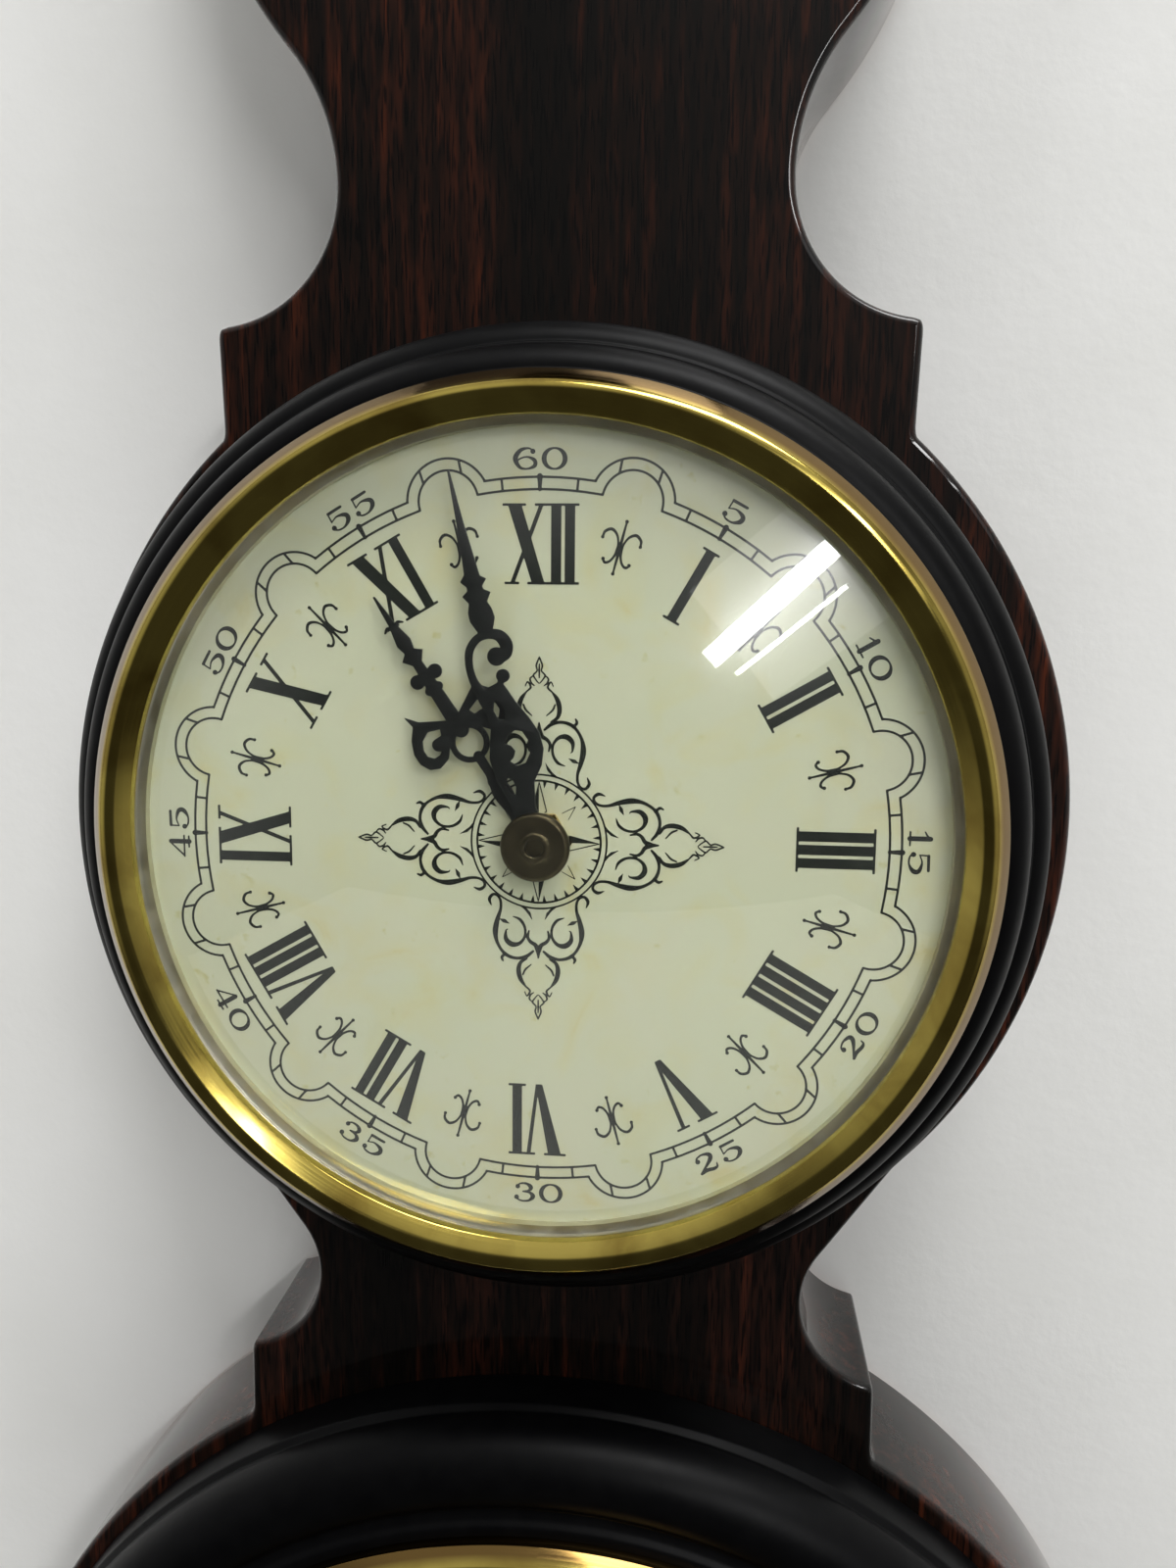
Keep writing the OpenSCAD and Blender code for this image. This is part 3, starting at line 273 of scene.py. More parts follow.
# Silvered brass of the spacer rings behind the glass: pale, it takes the colour of the card beside it.
silvered = metal("brass_silvered", "#d9d6c8", "#c3bfae", 0.28, 0.42, (600, 600, 600))
# Bronzed nut: dark brown, soft shine.
bronzed = metal("brass_bronzed_dark", "#4c4533", "#2a251b", 0.30, 0.46, (400, 400, 400))
# Zinc plated steel: grey and slightly cloudy.
zinc_steel = metal("steel_zinc_plated", "#b4b6b4", "#85888a", 0.24, 0.42, (700, 700, 700))
# Hardened spring steel, brushed along.
spring_steel = metal("steel_spring_brushed", "#8e949c", "#60666e", 0.20, 0.34, (2400, 2400, 200))
# Corrugated capsule in nickel silver: pale and even.
nickel_silver = metal("nickel_silver_capsule", "#c9c4b4", "#9d9886", 0.22, 0.36, (600, 600, 600))
# Pressed dust can: tin plate, long draw lines.
tin_plate = metal("steel_tin_plate", "#a4a6a6", "#949696", 0.30, 0.42, (1800, 60, 1800))

# %% [markdown]
# ## Plastics, paper, felt and glass
# The blackened hands are steel with a matt oxide skin. The movement is injection moulded, the battery has a
# plain sleeve, the dials are printed card gone ivory with age, and the pads are pressed felt.


# %% Plain finishes recipe
def skin(name, dark, light, spots, smooth, rough, bump_at, bump, **sockets):
    made, tree, shader, coords = finish(name, **sockets)
    here = coords["Object"]
    tint(tree, shader, noise(tree, here, (spots,) * 3, 3.0), [(0.3, dark), (0.7, light)])
    sheen(tree, shader, noise(tree, here, (spots * 2,) * 3, 2.0), smooth, rough)
    relief(tree, shader, noise(tree, here, (bump_at,) * 3, 2.0), bump, 0.0002)
    return made


# Oxide blackened steel: near black, a dry sheen.
blackened = skin("steel_blackened", "#060807", "#0f1210", 500, 0.34, 0.5, 3000, 0.1, Specular_IOR_Level=0.25)
# Printing ink: dark green black, thin and even, slightly shiny.
ink = skin("printing_ink_black", "#0b0f0a", "#161b13", 300, 0.45, 0.6, 2500, 0.05, Specular_IOR_Level=0.2)
# Moulded ABS: fine spark texture, low shine.
black_plastic = skin("abs_moulded_black", "#131314", "#1d1d1f", 300, 0.42, 0.55, 4000, 0.2)
grey_plastic = skin("abs_moulded_grey", "#7d8082", "#8b8e90", 300, 0.45, 0.58, 4000, 0.2)
# Battery sleeve: printed film drawn tight, dark green with a gloss.
battery_film = skin("pvc_sleeve_green", "#1d4a33", "#24573c", 120, 0.22, 0.3, 900, 0.04)
# Dyed alcohol: clear red drop behind glass.
red_alcohol = skin("alcohol_dyed_red", "#b3150f", "#c92018", 200, 0.08, 0.12, 500, 0.02)
# Pressed wool felt: soft fibres, no shine.
felt = skin("wool_felt_green", "#23402c", "#3b5d43", 1500, 0.9, 1.0, 3500, 0.8, Sheen_Weight=0.5)

# Aged card: ivory, with weak yellow clouds about a centimetre wide and small yellow flecks of 3 mm.
ivory, tree, shader, coords = finish("card_printed_aged_ivory", IOR=1.45)
here = coords["Object"]
stain = node(tree, "ShaderNodeValToRGB", {"Fac": noise(tree, here, (75, 75, 75), 5.0, 1.2)},
             stops=[(0.48, "#b9bba0"), (0.78, "#b8ae7c"), (0.64, "#b9b895")])
fleck = node(tree, "ShaderNodeValToRGB", {"Fac": noise(tree, here, (330, 330, 330), 3.0)},
             stops=[(0.68, "#ffffff"), (0.80, "#f0e9c6")])
tree.links.new(times(tree, stain, fleck), shader.inputs["Base Color"])
sheen(tree, shader, noise(tree, here, (200,) * 3, 2.0), 0.42, 0.55)
relief(tree, shader, noise(tree, here, (1400,) * 3, 2.0), 0.02, 0.0002)


# Clear glass. A weak, rougher coat is the haze on the dome. Shadow rays pass unbent, so the card stays bright.
def glass(name, cast, rough, haze):
    made, tree, shader, coords = finish(name, Roughness=rough, IOR=1.5, Transmission_Weight=1.0,
                                        Coat_Weight=haze, Coat_Roughness=0.16)
    streaks = noise(tree, coords["Object"], (40, 40, 40), 3.0, 1.0)
    tint(tree, shader, streaks, [(0.2, "#ffffff"), (0.8, cast)])
    rays = tree.nodes.new("ShaderNodeLightPath").outputs
    seen_beyond(tree, shader, rays["Is Shadow Ray"])
    return made


dome_glass = glass("glass_domed_clear", "#fbfffc", 0.015, 0.42)
tube_glass = glass("glass_drawn_tube", "#f4fffa", 0.02, 0.0)
print("finishes:", len(bpy.data.materials))

# %% [markdown]
# ## Shapes with a rule
# Turned parts are drawn once as a half section and spun. Sharp section corners get a small round, because a
# knife edge catches no light. The UV map runs along the rim and along the section, so lathe lines follow it.


# %% Turned shapes
def softened(points, r, steps=3):
    out = []
    for i in range(len(points)):
        a, b, c = (np.array(points[(i + k) % len(points)], float) for k in (-1, 0, 1))
        u, v = a - b, c - b
        lu, lv = np.linalg.norm(u), np.linalg.norm(v)
        if min(lu, lv) < 1e-6 or abs(b[0]) < 1e-6 or u @ v / (lu * lv) < -0.95:
            out.append(tuple(b))
            continue
        p, q = b + u / lu * min(r, lu * 0.42), b + v / lv * min(r, lv * 0.42)
        out += [tuple((1 - t) ** 2 * p + 2 * t * (1 - t) * b + t * t * q) for t in np.linspace(0, 1, steps + 1)]
    return out


def solid(name, verts, faces, material, uvs=None, sharp=32):
    mesh = bpy.data.meshes.new(name)
    mesh.from_pydata([tuple(v) for v in verts], [], faces)
    if uvs is not None:
        mesh.uv_layers.new(name="turned").data.foreach_set("uv", np.array(uvs, float).ravel())
    bm = bmesh.new()
    bm.from_mesh(mesh)
    bmesh.ops.remove_doubles(bm, verts=bm.verts, dist=2e-6)
    bmesh.ops.dissolve_degenerate(bm, dist=1e-6, edges=bm.edges)
    bmesh.ops.delete(bm, geom=[e for e in bm.edges if not e.link_faces], context="EDGES")
    bmesh.ops.recalc_face_normals(bm, faces=bm.faces)
    bm.to_mesh(mesh)
    bm.free()
    mesh.materials.append(material)
    mesh.shade_smooth()
    mesh.set_sharp_from_angle(angle=radians(sharp))
    return linked(name, mesh)


def lathe(name, section, z, material, x=0.0, steps=240, soft=0.2):
    pts = softened(section, soft)
    n = len(pts)
    run = np.cumsum([0] + [dist(pts[i], pts[(i + 1) % n]) for i in range(n)])
    verts = [place(x + r * sin(t), r * cos(t), d, z)
             for t in np.arange(steps) * 2 * pi / steps for r, d in pts]
    faces, uvs, rim = [], [], 2 * pi * max(r for r, d in pts) / steps
    for i in range(steps):
        for j in range(n):
            k, o = (j + 1) % n, (i + 1) % steps
            faces.append((i * n + j, i * n + k, o * n + k, o * n + j))
            uvs += [(a * rim, run[b]) for a, b in ((i, j), (i, j + 1), (i + 1, j + 1), (i + 1, j))]
    return solid(name, verts, faces, material, uvs)


# %% [markdown]
# Flat shapes with a moulded edge, such as the board, are one outline carried through a list of rings: how far
# the outline is drawn in, and at what depth. A quarter circle of rings gives a rounded edge.


# %% Moulded slabs
def drawn_in(points, amount):
    p = np.array(points, float)
    before, after = p - np.roll(p, 1, 0), np.roll(p, -1, 0) - p
    n1, n2 = (np.column_stack([-e[:, 1], e[:, 0]]) / np.linalg.norm(e, axis=1)[:, None]
              for e in (before, after))
    return p + amount * (n1 + n2) / np.maximum(1 + (n1 * n2).sum(1), 0.3)[:, None]


def slab(name, outline, rings, z, material, closed=False, open_ends=False, sharp=32):
    n = len(outline)
    verts = [place(px, py, depth, z) for amount, depth in rings for px, py in drawn_in(outline, amount)]
    faces = [(i * n + j, i * n + (j + 1) % n, k * n + (j + 1) % n, k * n + j)
             for i, k in zip(range(len(rings)), [*range(1, len(rings)), 0]) if closed or k for j in range(n)]
    if not closed and not open_ends:
        faces += [tuple(range(n))[::-1], tuple(range(len(rings) * n - n, len(rings) * n))]
    return solid(name, verts, faces, material, sharp=sharp)


def edge_round(r, depth, out=1, steps=5):
    """Rings of a rounded edge that ends on the face at this depth; out is 1 for the front, -1 for the back."""
    turns = np.radians(np.linspace(0, 90, steps + 1))
    rings = [(r - r * cos(t), depth - out * (r - r * sin(t))) for t in turns]
    return rings + [(r + 0.05, depth)] if out > 0 else [(r + 0.05, depth)] + rings[::-1]


# %% [markdown]
# ## The board
# One 33 mm board carries everything. Its outline is arcs struck from a few centres: the crown, the waists and
# the rounds that follow the clock and the barometer. The drawn right half is mirrored. Its edges are eased to
# 1.4 mm, and the lacquer draws a thin bright line along them. The works sit in bored pockets. The walls of
# all the bores are added to the board's shell, and each face is filled between the outline and their mouths.

# %% Board outline
CROWN_R, CROWN_UP, COVE_R, COVE_X = 58, 280, 20, 68
BOUT_HALF, BOUT_R, FLARE_R = 66, 74, 36
UPPER_WAIST, WAIST_UP, NECK_R, SHOULDER = 40.3, 112.5, 24, 63
LOWER_WAIST, LOW_WAIST_UP, LOW_NECK_R = 48.5, -95.5, 17
CLOCK_FIELD_R, BARO_FIELD_R = 93, 125


def angle_of(across, r):
    """The angle at which a circle of this radius stands this far across from its centre."""
    return degrees(acos(across / r))


crown_end = angle_of(COVE_X - COVE_R - 0.5, CROWN_R)
cove_up = CROWN_UP + CROWN_R * sin(radians(crown_end)) - 0.6
flare_end = angle_of(UPPER_WAIST + FLARE_R - BOUT_HALF + BOUT_R, BOUT_R + FLARE_R)
flare_up = WAIST_UP + (BOUT_R + FLARE_R) * sin(radians(flare_end))
neck_end = angle_of(UPPER_WAIST + NECK_R - SHOULDER + 2, NECK_R)
shoulder_up = WAIST_UP - NECK_R * sin(radians(neck_end))
low_end = angle_of(LOWER_WAIST + LOW_NECK_R - SHOULDER + 2, LOW_NECK_R)
low_shoulder_up = LOW_WAIST_UP - LOW_NECK_R * sin(radians(low_end))
half = (arc(0, CROWN_UP, CROWN_R, 90, crown_end, 40) + arc(COVE_X, cove_up, COVE_R, 180, 262, 30)
        + [(BOUT_HALF, cove_up - COVE_R)] + arc(BOUT_HALF - BOUT_R, flare_up, BOUT_R, 0, -flare_end, 40)
        + arc(UPPER_WAIST + FLARE_R, WAIST_UP, FLARE_R, 184 - flare_end, 180, 30)
        + arc(UPPER_WAIST + NECK_R, WAIST_UP, NECK_R, 184, 180 + neck_end, 30) + [(SHOULDER, shoulder_up - 0.6)]
        + arc(0, 0, CLOCK_FIELD_R, angle_of(62.4, CLOCK_FIELD_R), -45.6, 90)
        + arc(LOWER_WAIST + LOW_NECK_R, LOW_WAIST_UP, LOW_NECK_R, 146, 180 + low_end, 40)
        + [(SHOULDER + 0.2, low_shoulder_up - 0.6)]
        + arc(0, BARO_Z - CLOCK_Z, BARO_FIELD_R - 0.06, angle_of(63.5, BARO_FIELD_R), -90, 110))
outline = softened([(x, y) for x, y in half] + [(-x, y) for x, y in half[-2:0:-1]], 2.4, 5)[::-1]
area = sum(a[0] * b[1] - b[0] * a[1] for a, b in zip(outline, outline[1:] + outline[:1])) / 2
outline = outline if area > 0 else outline[::-1]
print("outline points:", len(outline), "area cm2:", round(abs(area) / 100, 1))

# %% Board with its bores
CLOCK_POCKET, BARO_POCKET = 50, 56
SCREW_R, HEAD_R, HEAD_DEPTH, HANGER_SCREW_R = 2.06, 4.06, 4.06, 1.36
board = slab("board", outline, edge_round(0.7, BOARD_BACK, -1) + edge_round(1.4, BOARD_FRONT), CLOCK_Z,
             mahogany, open_ends=True)
shell = bmesh.new()
shell.from_mesh(board.data)


def bore(x, z, section, steps=96):
    """Adds the wall of a bore to the board's shell, from its mouth at the back inwards."""
    rings = [[shell.verts.new(place(x + r * sin(t), r * cos(t), d, z))
              for t in np.arange(steps) * 2 * pi / steps] for r, d in section]
    for one, two in zip(rings, rings[1:]):
        for i in range(steps):
            wall = shell.faces.new((one[i], one[(i + 1) % steps], two[(i + 1) % steps], two[i]))
            wall.material_index, wall.smooth = 1, True


for r, z in ((CLOCK_POCKET, CLOCK_Z), (BARO_POCKET, BARO_Z)):
    bore(0, z, [(r, BOARD_BACK), (r, BOARD_FRONT)], 160)
for r, depth, x in ((9, 13.5, 0), (HANGER_SCREW_R, 14.5, -22), (HANGER_SCREW_R, 14.5, 22)):
    bore(x, 0, [(r, BOARD_BACK), (r, depth), (0.001, depth)])
# The screws from behind: centre height, distance from that centre, and angle.
screws = [(CLOCK_Z, 72, 45 + 90 * i) for i in range(4)] + [(BARO_Z, 109.75, 30 + 60 * i) for i in range(6)]
for z, r, a in screws + [(THERMO_Z, 73.5, 90), (THERMO_Z, 73.5, 270)]:
    bore(r * cos(radians(a)), z + r * sin(radians(a)),
         [(HEAD_R, BOARD_BACK), (HEAD_R, HEAD_DEPTH), (SCREW_R, HEAD_DEPTH), (SCREW_R, BOARD_FRONT)], 32)
for depth in (BOARD_BACK, BOARD_FRONT):
    mouths = [e for e in shell.edges if e.is_boundary and all(abs(v.co.y + depth * MM) < 1e-6 for v in e.verts)]
    filled = bmesh.ops.triangle_fill(shell, edges=mouths, use_beauty=True, normal=(0, -1, 0))["geom"]
    for face in (g for g in filled if isinstance(g, bmesh.types.BMFace)):
        face.material_index = 1 if depth == BOARD_BACK else 0
bmesh.ops.remove_doubles(shell, verts=shell.verts, dist=2e-6)
bmesh.ops.recalc_face_normals(shell, faces=shell.faces)
open_edges = sum(not e.is_manifold for e in shell.edges)
volume = shell.calc_volume(signed=True) * 1e6
shell.to_mesh(board.data)
shell.free()
board.data.materials.append(sawn_wood)
board.data.shade_smooth()
board.data.set_sharp_from_angle(angle=radians(32))
dress(board, "case", "case_board")
print("board cm3:", round(volume), "open edges:", open_edges, [m.name for m in board.data.materials])


def baked(made):
    """The object as its modifiers leave it, as a plain mesh."""
    bpy.context.view_layer.update()
    mesh = bpy.data.meshes.new_from_object(made.evaluated_get(bpy.context.evaluated_depsgraph_get()))
    made.modifiers.clear()
    made.data = mesh
    return made


# %% [markdown]
# ## Turned rings, bezels and domed glasses
# Each dial sits under a domed glass, held by a bezel rolled from brass, on a ring turned in wood. The bezel
# is a rolled roof: a steep outside, a round crest, and a straight slope of 38 degrees in to the glass. As that
# slope is a plain cone, each thing in the room shows on it as a band across its whole width. The glass is a
# slice of a sphere, 2 mm thick.

# %% Rings, bezels and glasses
CREST_R, SLOPE, GLASS = 2.2, 38, 2
# How high the slope starts over the rim, and how much it falls on each millimetre.
SLOPE_TOP, SLOPE_FALL = 3.934, 0.781
clock_ring = lathe("clock_ring", [(r, BOARD_FRONT + d) for r, d in (
    [(60.3, 0), (85.1, 0)] + arc(80.4, 15, 4.7, 0, 80, 14) + [(80.9, 20.1), (80.1, 20.1)]
    + arc(75.3, 22.2, 4.8, 0, 88, 14) + [(75.3, 27.5), (71.3, 27.5), (71.3, 23.95), (60.3, 23.95)])],
    CLOCK_Z, satin_black, soft=0.45)
baro_ring = lathe("barometer_ring", [(r, BOARD_FRONT + d) for r, d in (
    [(87, 0), (121.5, 0), (121.5, 8.5), (120.3, 9.9)] + arc(111.5, 11.3, 9, -4, 112, 24)
    + [(106.9, 18.7), (105.1, 19.3), (104.1, 20.1), (102.9, 20.3), (98, 20.3), (98, 16.75), (87, 16.75)])],
    BARO_Z, satin_black, soft=0.4)


def bezel(name, sight, seat, out, rim, z):
    crest, lip = out - 3.7, sight + 1.2
    inner = crest - CREST_R * sin(radians(SLOPE))
    return lathe(name, [(r, rim + d) for r, d in (
        [(seat - 0.3, -3.6), (seat - 0.3, -1), (out, -1), (out, 1.2)]
        + arc(crest, CREST_R, CREST_R, 40, 128, 16)
        + [(lip, SLOPE_TOP - SLOPE_FALL * (inner - lip)), (lip, 0.8), (seat - 2.1, 0.8), (seat - 2.1, -3.6)])],
        z, bezel_brass, soft=0.15, steps=300)


def dome(name, sight, rise, rim, z, hole=0.0):
    big = (sight ** 2 + rise ** 2) / (2 * rise)
    centre = rim + 0.65 - sqrt(big ** 2 - sight ** 2)
    r = np.linspace(hole, sight + 1.9, 40)
    outer = [(v, centre + sqrt(big ** 2 - v * v)) for v in r]
    inner = [(v, centre + sqrt((big - GLASS) ** 2 - v * v)) for v in r[::-1]]
    return lathe(name, outer + inner, z, dome_glass, soft=0.15)


clock_bezel = bezel("clock_bezel_rolled", CLOCK_SIGHT, CLOCK_SEAT, CLOCK_BEZEL, CLOCK_RIM, CLOCK_Z)
baro_bezel = bezel("barometer_bezel_rolled", BARO_SIGHT, BARO_SEAT, BARO_BEZEL, BARO_RIM, BARO_Z)
clock_glass = dome("clock_glass_domed", CLOCK_SIGHT, 11, CLOCK_RIM, CLOCK_Z)
baro_glass = dome("barometer_glass_domed", BARO_SIGHT, 14, BARO_RIM, BARO_Z, 2.76)
for made, old, slot in ((clock_ring, "clock_ring", "black_lacquer"), (baro_ring, "baro_ring", "black_lacquer"),
                        (clock_bezel, "clock_bezel", "polished_brass"),
                        (baro_bezel, "baro_bezel", "polished_brass"),
                        (clock_glass, "clock_glass", "dome_glass"), (baro_glass, "baro_glass", "dome_glass")):
    dress(made, "case", old)
    print(made.name, "faces:", len(made.data.polygons))

# %% [markdown]
# ## Thermometer case
# A black surround with stepped, eased edges frames a printed plate. A thin brass strip trims the opening.
# Both are long ovals, so they are slabs with rings, and the strip is a closed ring section carried round.

# %% Thermometer surround and trim
def oval(w, h, n=40):
    r, up = w / 2, (h - w) / 2
    return arc(0, up, r, 0, 180, n) + arc(0, -up, r, 180, 360, n)


def step(inset, r, depth):
    """A step of the moulding: its rounded edge, this far in from the outline."""
    return [(inset + a, d) for a, d in edge_round(r, depth)][:-1]


steps = [(0, BOARD_FRONT), *step(0, 1.2, 40.0), (1.7, 40.0), *step(1.5, 0.6, 42.5), *step(3, 0.6, 44.0),
         (9.6, 44.0), (9.8, 43.8), (9.8, 38.5), (10.4, 38.5)]
surround = slab("thermometer_surround_moulded", oval(54, 156), steps, THERMO_Z, satin_black)
strip = [(0, 44.0), (0, 45.2), (0.12, 45.45), (0.4, 45.6), (3.0, 45.6), (3.35, 45.45), (3.5, 45.2), (3.5, 44.0)]
trim = slab("thermometer_trim", oval(40, 142), strip, THERMO_Z, pressed_brass, closed=True)
dress(surround, "case", "thermo_surround")
dress(trim, "case", "thermo_frame")
print("surround faces:", len(surround.data.polygons), "trim faces:", len(trim.data.polygons))

# %% [markdown]
# ## Cut and printed shapes
# Numerals, scrolls and pierced hands are drawn like pen strokes: a line with a width at each point, smoothed,
# plus straight edged areas and holes. All strokes of a shape melt into one outline. A grid holds, at each
# point, how far the nearest stroke's edge is. The outline runs where that distance is zero.


# %% Strokes to outlines
def smooth(rows, n=8):
    p = np.array(rows, float)
    if len(p) < 3:
        return p
    q = np.vstack([2 * p[0] - p[1], p, 2 * p[-1] - p[-2]])
    t = np.linspace(0, 1, n, endpoint=False)[:, None]
    runs = [0.5 * (2 * b + (c - a) * t + (2 * a - 5 * b + 4 * c - d) * t ** 2
                   + (3 * b - a - 3 * c + d) * t ** 3) for a, b, c, d in zip(q, q[1:], q[2:], q[3:])]
    return np.vstack(runs + [p[-1:]])


def from_edge(kind, rows, x, y):
    best, odd = np.full(x.shape, 99.0), np.zeros(x.shape, bool)
    filled = kind in ("area", "hole")
    p = np.array(rows, float) if kind != "stroke" else smooth(rows)
    for a, b in zip(p, np.roll(p, -1, 0)) if filled else zip(p, p[1:]):
        dx, dy = b[0] - a[0], b[1] - a[1]
        t = np.clip(((x - a[0]) * dx + (y - a[1]) * dy) / max(dx * dx + dy * dy, 1e-12), 0, 1)
        gap = np.hypot(x - a[0] - t * dx, y - a[1] - t * dy)
        best = np.minimum(best, gap if filled else gap - (a[2] + t * (b[2] - a[2])) / 2)
        if filled:
            odd ^= ((a[1] > y) != (b[1] > y)) & (x < dx * (y - a[1]) / (dy or 1e-12) + a[0])
    return np.where(odd, -best, best) if filled else best


# For each pattern of inside corners of a grid square, the sides at which the outline comes in and goes out.
TURNS = {1: "03", 2: "10", 3: "13", 4: "21", 5: "0321", 6: "20", 7: "23", 8: "32", 9: "02", 10: "1032",
         11: "12", 12: "31", 13: "01", 14: "30"}


def outlines(parts, grid=0.1, keep=0.012):
    """Closed outlines of the melted strokes, areas and holes, in millimetres."""
    wide = [(r[0] + s * (r[2] if len(r) > 2 else 0), r[1] + s * (r[2] if len(r) > 2 else 0))
            for kind, rows in parts for r in rows for s in (-1, 1)]
    low, high = np.min(wide, 0) - 3 * grid, np.max(wide, 0) + 3 * grid
    xs, ys = (np.arange(low[i], high[i] + grid, grid) for i in (0, 1))
    x, y = np.meshgrid(xs, ys)
    f = np.full(x.shape, 99.0)
    for kind, rows in parts:
        gap = from_edge(kind, rows, x, y)
        f = np.maximum(f, -gap) if kind == "hole" else np.minimum(f, gap)
    f[np.abs(f) < 1e-6] = 1e-6
    s = (f < 0).astype(int)
    code = s[:-1, :-1] + 2 * s[:-1, 1:] + 4 * s[1:, 1:] + 8 * s[1:, :-1]
    after = {}
    for j, i in zip(*np.nonzero((code > 0) & (code < 15))):
        sides = {"0": (j, i, 0), "1": (j, i + 1, 1), "2": (j + 1, i, 0), "3": (j, i, 1)}
        steps = TURNS[int(code[j, i])]
        for a, b in zip(steps[::2], steps[1::2]):
            after[sides[a]] = sides[b]

    def cross(key):
        j, i, up = key
        a, b = f[j, i], f[j + up, i + 1 - up]
        t = a / (a - b)
        return (xs[i] + (0 if up else t * grid), ys[j] + (t * grid if up else 0))

    loops = []
    while after:
        start = key = next(iter(after))
        loop = []
        while key in after:
            loop.append(cross(key))
            key = after.pop(key)
        if len(loop) > 5:
            loops.append(thinned(loop, keep))
    return loops


def thinned(loop, keep):
    """Drops points that lie within a hair of a straight run."""
    p, out, i = np.array(loop), [0], 0
    while i < len(p) - 2:
        j = i + 2
        while j < len(p) and j - i < 40:
            d = p[j] - p[i]
            size = max(np.hypot(*d), 1e-9)
            off = d[0] * (p[i + 1:j, 1] - p[i][1]) - d[1] * (p[i + 1:j, 0] - p[i][0])
            if np.max(np.abs(off)) / size > keep:
                break
            j += 1
        i = j - 1
        out.append(i)
    return [tuple(p[k]) for k in out] if len(out) > 3 else loop


def turned(loops, clockwise=0.0, up=0.0, size=1.0, right=0.0):
    """Outlines made larger, moved, then turned clockwise about the centre."""
    c, s = cos(radians(clockwise)), sin(radians(clockwise))
    moved = [[(x * size + right, y * size + up) for x, y in loop] for loop in loops]
    return [[(x * c + y * s, y * c - x * s) for x, y in loop] for loop in moved]


# %% [markdown]
# A flat curve fills the outlines, holes and all, and gives them thickness. Hands get a fine bevel, as
# stamped steel has. Print is a film 0.04 mm thick that lies on the card. A curve is made a mesh before it
# is stood up against the dial.


# %% Outlines to thin solids
def cutout(name, loops, depth, thick, z, material, bevel=0.0):
    data = bpy.data.curves.new(name, "CURVE")
    data.dimensions, data.fill_mode, data.bevel_resolution = "2D", "BOTH", 1
    data.extrude, data.bevel_depth, data.offset = thick / 2 - bevel, bevel, -bevel
    for loop in loops:
        spline = data.splines.new("POLY")
        spline.points.add(len(loop) - 1)
        spline.points.foreach_set("co", [v for x, y in loop for v in (x, y, 0, 1)])
        spline.use_cyclic_u = True
    flat = linked(name, data)
    bpy.context.view_layer.update()
    mesh = bpy.data.meshes.new_from_object(flat.evaluated_get(bpy.context.evaluated_depsgraph_get()))
    bpy.data.objects.remove(flat)
    verts = [place(v.co.x, v.co.y, depth + thick / 2 + v.co.z, z) for v in mesh.vertices]
    return solid(name, verts, [tuple(f.vertices) for f in mesh.polygons], material, sharp=28)


def joined(name, pieces):
    """Several meshes as one piece."""
    whole = bmesh.new()
    for piece in pieces:
        whole.from_mesh(piece.data)
    mesh, material = bpy.data.meshes.new(name), pieces[0].data.materials[0]
    whole.to_mesh(mesh)
    whole.free()
    mesh.materials.append(material)
    mesh.set_sharp_from_angle(angle=radians(28))
    for piece in pieces:
        bpy.data.objects.remove(piece)
    return linked(name, mesh)


# %% [markdown]
# ## Copies by rule
# Ticks, ornaments and ribs repeat round a centre or along a line. One Geometry Nodes tree does both: it sets
# points at the centre, stands a copy on each, and turns or shifts each a step further than the last. The
# copies are then made real and given their finish.

# %% Tree for copies
copies = bpy.data.node_groups.new("copies_by_rule", "GeometryNodeTree")
wanted = (("Geometry", "NodeSocketGeometry"), ("Count", "NodeSocketInt"), ("First Turn", "NodeSocketFloat"),
          ("Turn Step", "NodeSocketFloat"), ("Centre", "NodeSocketVector"), ("Shift Step", "NodeSocketVector"),
          ("Finish", "NodeSocketMaterial"))
for name, kind in wanted:
    copies.interface.new_socket(name, in_out="INPUT", socket_type=kind)
copies.interface.new_socket("Geometry", in_out="OUTPUT", socket_type="NodeSocketGeometry")
given = copies.nodes.new("NodeGroupInput").outputs
index = node(copies, "GeometryNodeInputIndex")
shift = node(copies, "ShaderNodeVectorMath", {"Vector": given["Shift Step"], "Scale": index}, operation="SCALE")
at = node(copies, "ShaderNodeVectorMath", {"Vector": given["Centre"]}, operation="ADD")
copies.links.new(shift, at.node.inputs[1])
points = node(copies, "GeometryNodePoints", {"Count": given["Count"], "Position": at})
turn = node(copies, "ShaderNodeMath", {"Value": index}, operation="MULTIPLY_ADD")
copies.links.new(given["Turn Step"], turn.node.inputs[1])
copies.links.new(given["First Turn"], turn.node.inputs[2])
about = node(copies, "ShaderNodeCombineXYZ", {"Y": turn})
home = node(copies, "ShaderNodeVectorMath", {"Vector": given["Centre"], "Scale": -1.0}, operation="SCALE")
item = node(copies, "GeometryNodeTransform", {"Geometry": given["Geometry"], "Translation": home})
stood = node(copies, "GeometryNodeInstanceOnPoints", {"Points": points, "Instance": item, "Rotation": about})
real = node(copies, "GeometryNodeRealizeInstances", {"Geometry": stood})
done = node(copies, "GeometryNodeSetMaterial", {"Geometry": real, "Material": given["Finish"]})
copies.links.new(done, copies.nodes.new("NodeGroupOutput").inputs[0])


